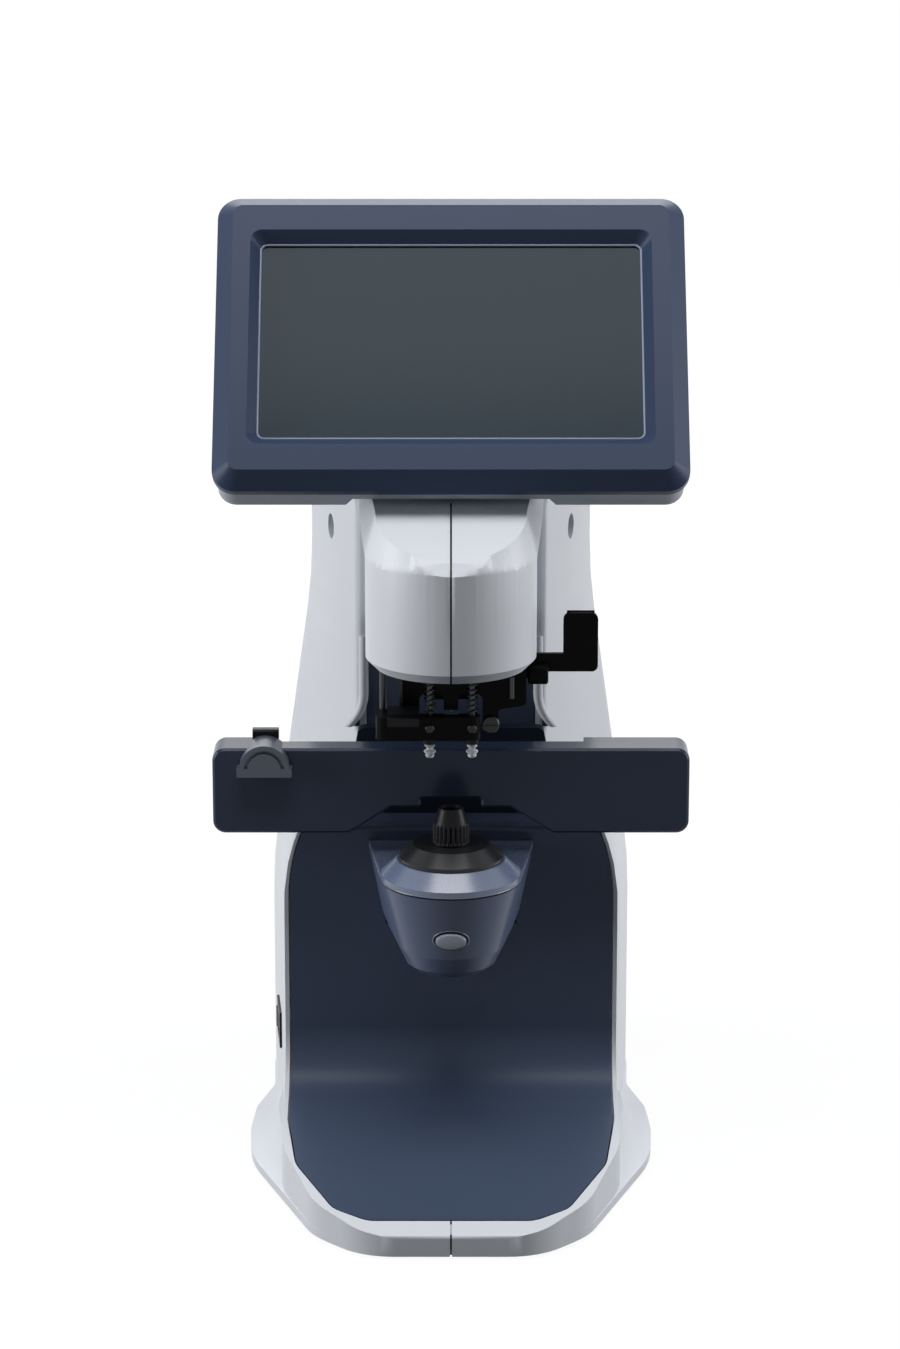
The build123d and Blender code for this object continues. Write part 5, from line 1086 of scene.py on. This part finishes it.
@dataclass
class HeadCheeks(Assembly):
    """The two covers with slanting cheeks between the head's upright wall and its sloping front.

    Each is a merged copy of the CAD cover, cut along planes and pressed in above the brow.
    """

    axis_y: float = -57.0
    radius: float = 35.0  # of the head's round front
    flare: float = 6.0  # spread of the CAD head's sides from the brow to the top
    brow: float = 277.0  # height at which the upright front ends
    top: float = 303.0
    root: float = 13.0  # Y of the column's face
    fade: float = 33.0  # length before the root over which the pressing dies out
    half_wide: float = 42.5  # beyond the widest part of the head
    facet_radius: float = 30.7  # radius of the sloping front's outline
    facet_spread: float = 0.2  # how fast that outline widens backwards
    front_step: float = 31.0  # reach of the sloping front before the axis
    least_rise: float = 5.0  # least height over which a cheek is spread
    # Y and height along the head's upper outline, and along the wall's end behind the axis
    slope: Pairs = ((-92, 277), (-88, 282), (-48, 299.5), (-30, 303))
    side_brow: Pairs = ((-57, 277), (-50, 283), (-40, 290), (-30, 296.5))
    # Axis, first, last and number of the slices that let the cheeks bend
    slices: tuple[tuple[int, float, float, int], ...] = (
        (2, 279.5, 302, 9), (1, -90, 8, 26), (0, -38, 38, 20))
    lowest: float = 276.5  # faces that reach above this and lie before the rearmost Y are cut
    rearmost: float = 16.5
    sharp: float = radians(36.0)
    crisp: float = radians(18.0)  # least bend of the sloping front's edge
    crisp_back: float = -46.0
    band: Span = (277.3, 281.8)  # heights of the band over the brow, which shades as one
    band_back: float = -86.0
    brow_back: float = -30.0  # before this Y the brow is soft, within this height of it
    soft_half: float = 0.6

    def slope_line(self, y: np.ndarray) -> np.ndarray:
        """Height of the head's upper outline at Y."""
        return np.interp(y, *zip(*self.slope))

    def brow_line(self, y: np.ndarray) -> np.ndarray:
        """Height of the line where the upright wall ends."""
        return np.interp(y, *zip(*self.side_brow))

    def pressed(self, points: np.ndarray) -> np.ndarray:
        """Press points in above the brow.

        With t the share of the way up from the brow line to the sloping front, a point before the
        axis keeps its bearing and its distance from the axis shrinks by t times what brings the
        outline to the sloping front's; behind the axis only X shrinks, less and less to the root.
        The height then follows the slope at the new place, by the same share.

        Args:
            points: Array of points in millimetres.

        Returns:
            The moved points.
        """
        x, y, z = points.T
        brow, slope = self.brow_line(y), self.slope_line(y)
        share = np.clip((z - brow) / np.maximum(slope - brow, self.least_rise), 0, 1)
        rise = np.clip((slope - self.brow) / (self.top - self.brow), 0, 1)
        wide = self.radius + self.flare * rise
        ahead = np.maximum(self.axis_y - y, 0)
        cosine = ahead / np.maximum(np.hypot(x, ahead), TINY)
        reach = np.minimum(self.front_step / np.maximum(cosine, TINY), wide)
        target = self.facet_radius + self.facet_spread * np.maximum(y - self.axis_y, 0)
        shrink = np.clip(target / np.where(ahead > 0, reach, wide), 0, 1)
        shrink = 1 - (1 - shrink) * np.clip((self.root - y) / self.fade, 0, 1)
        inside = (z > brow) & (y < self.root) & (np.abs(x) < self.half_wide)
        factor = np.where(inside, 1 - share * (1 - shrink), 1.0)
        before = inside & (ahead > 0)
        new_y = np.where(before, self.axis_y - ahead * factor, y)
        new_z = np.where(before, z + share * (self.slope_line(new_y) - slope), z)
        return np.stack([x * factor, new_y, new_z], axis=-1)

    def cut(self, shape: bmesh.types.BMesh) -> None:
        """Cut the head's upper part along the brow, the slope's corners and slices.

        Args:
            shape: The merged cover.
        """
        (start, low), _, (end, high), _ = self.side_brow
        brow = (0, self.axis_y, self.brow)
        planes = [(brow, (0, 0, 1)), (brow, (0, -(high - low) / (end - start), 1))]
        corners = [self.axis_y] + [y for y, _ in self.slope[1:]]
        planes += [((0, y, 0), (0, 1, 0)) for y in corners]
        for axis, first, last, count in self.slices:
            normal = np.eye(3)[axis]
            planes += [(normal * place, normal) for place in np.linspace(first, last, count)]
        for place, normal in planes:
            near = [face for face in shape.faces
                    if max(v.co.z for v in face.verts) > self.lowest * MM
                    and max(v.co.y for v in face.verts) < self.rearmost * MM]
            parts = list({part for face in near for part in (*face.verts, *face.edges, face)})
            bmesh.ops.bisect_plane(shape, geom=parts, dist=WELD / 10,
                                   plane_co=[c * MM for c in place], plane_no=normal)

    def bends(self, mesh: bpy.types.Mesh) -> np.ndarray:
        """Find the angle between the two faces at each edge, from the product of their normals.

        Args:
            mesh: The pressed cover.

        Returns:
            Radians for each edge, and nought where it hasn't two faces.
        """
        edge = read_all(mesh.loops, "edge_index", kind=np.int32)
        corners = read_all(mesh.polygons, "loop_total", kind=np.int32)
        normals = np.repeat(read_all(mesh.polygons, "normal", 3), corners, axis=0)
        normals = normals[np.argsort(edge, kind="stable")]
        count = np.bincount(edge, minlength=len(mesh.edges))
        first = (np.cumsum(count) - count)[count == 2]
        cosine = (normals[first] * normals[first + 1]).sum(axis=1)
        angles = np.zeros(len(count))
        angles[count == 2] = np.arccos(np.clip(cosine, -1, 1))
        return angles

    def mark_edges(self, mesh: bpy.types.Mesh) -> None:
        """Soften the brow line and keep the sloping front's outline crisp.

        Args:
            mesh: The pressed cover.
        """
        ends = read_all(mesh.edges, "vertices", 2, np.int32)
        x, y, z = (read_all(mesh.vertices, "co", 3)[ends].mean(axis=1) / MM).T
        sharp = read_all(mesh.edges, "use_edge_sharp", kind=bool)
        low, high = self.band
        band = (y < self.band_back) & (z > low) & (z < high) & (np.abs(x) > self.soft_half)
        soft = band | ((y < self.brow_back) & (np.abs(z - self.brow) < self.soft_half))
        front = (y < self.crisp_back) & (z > high) & (self.bends(mesh) > self.crisp)
        mesh.edges.foreach_set("use_edge_sharp", (sharp | front) & ~soft)

    def press_cover(self, name: str) -> None:
        """Copy, merge, cut and press one cover.

        Args:
            name: The cover's node.
        """
        mesh = frame["nodes"][name].data.copy()
        mesh.name = f"{name}_pressed"
        shape = bmesh.new()
        shape.from_mesh(mesh)
        bmesh.ops.remove_doubles(shape, verts=shape.verts, dist=WELD)
        self.cut(shape)
        shape.to_mesh(mesh)
        shape.free()
        if "custom_normal" in mesh.attributes:  # they belong to the shape before the cuts
            mesh.attributes.remove(mesh.attributes["custom_normal"])
        moved = self.pressed(read_all(mesh.vertices, "co", 3) / MM) * MM
        mesh.vertices.foreach_set("co", moved.ravel())
        mesh.polygons.foreach_set("use_smooth", np.ones(len(mesh.polygons), dtype=bool))
        mesh.update()
        mesh.set_sharp_from_angle(angle=self.sharp)
        self.mark_edges(mesh)
        made = bpy.data.objects.new(mesh.name, mesh)
        bpy.context.scene.collection.objects.link(made)
        made.modifiers.new("even_shading", "WEIGHTED_NORMAL").keep_sharp = True
        self.hand_over(made, "root", "white_shell", stands_for=(name,))

    def make(self) -> None:
        """Press both covers."""
        for name in ("left_cover", "right_cover"):
            self.press_cover(name)


def main() -> None:
    """Dress the frame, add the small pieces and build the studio."""
    logging.basicConfig(level=logging.INFO, format="%(name)s: %(message)s")
    finisher = Finisher()
    LOG.info("dressed %d nodes", finisher.dress_frame())
    Nosepiece(finisher).make()
    LensTips(finisher).make()
    stage = StageLines(finisher)
    stage.make()
    ReadButton(finisher).make(stage)
    DisplayBead(finisher).make()
    ThroatLips(finisher).make()
    CoverSeam(finisher).make()
    HeadCheeks(finisher).make()
    Studio().make()
    LOG.info("studio is up")


if __name__ == "__main__":
    main()
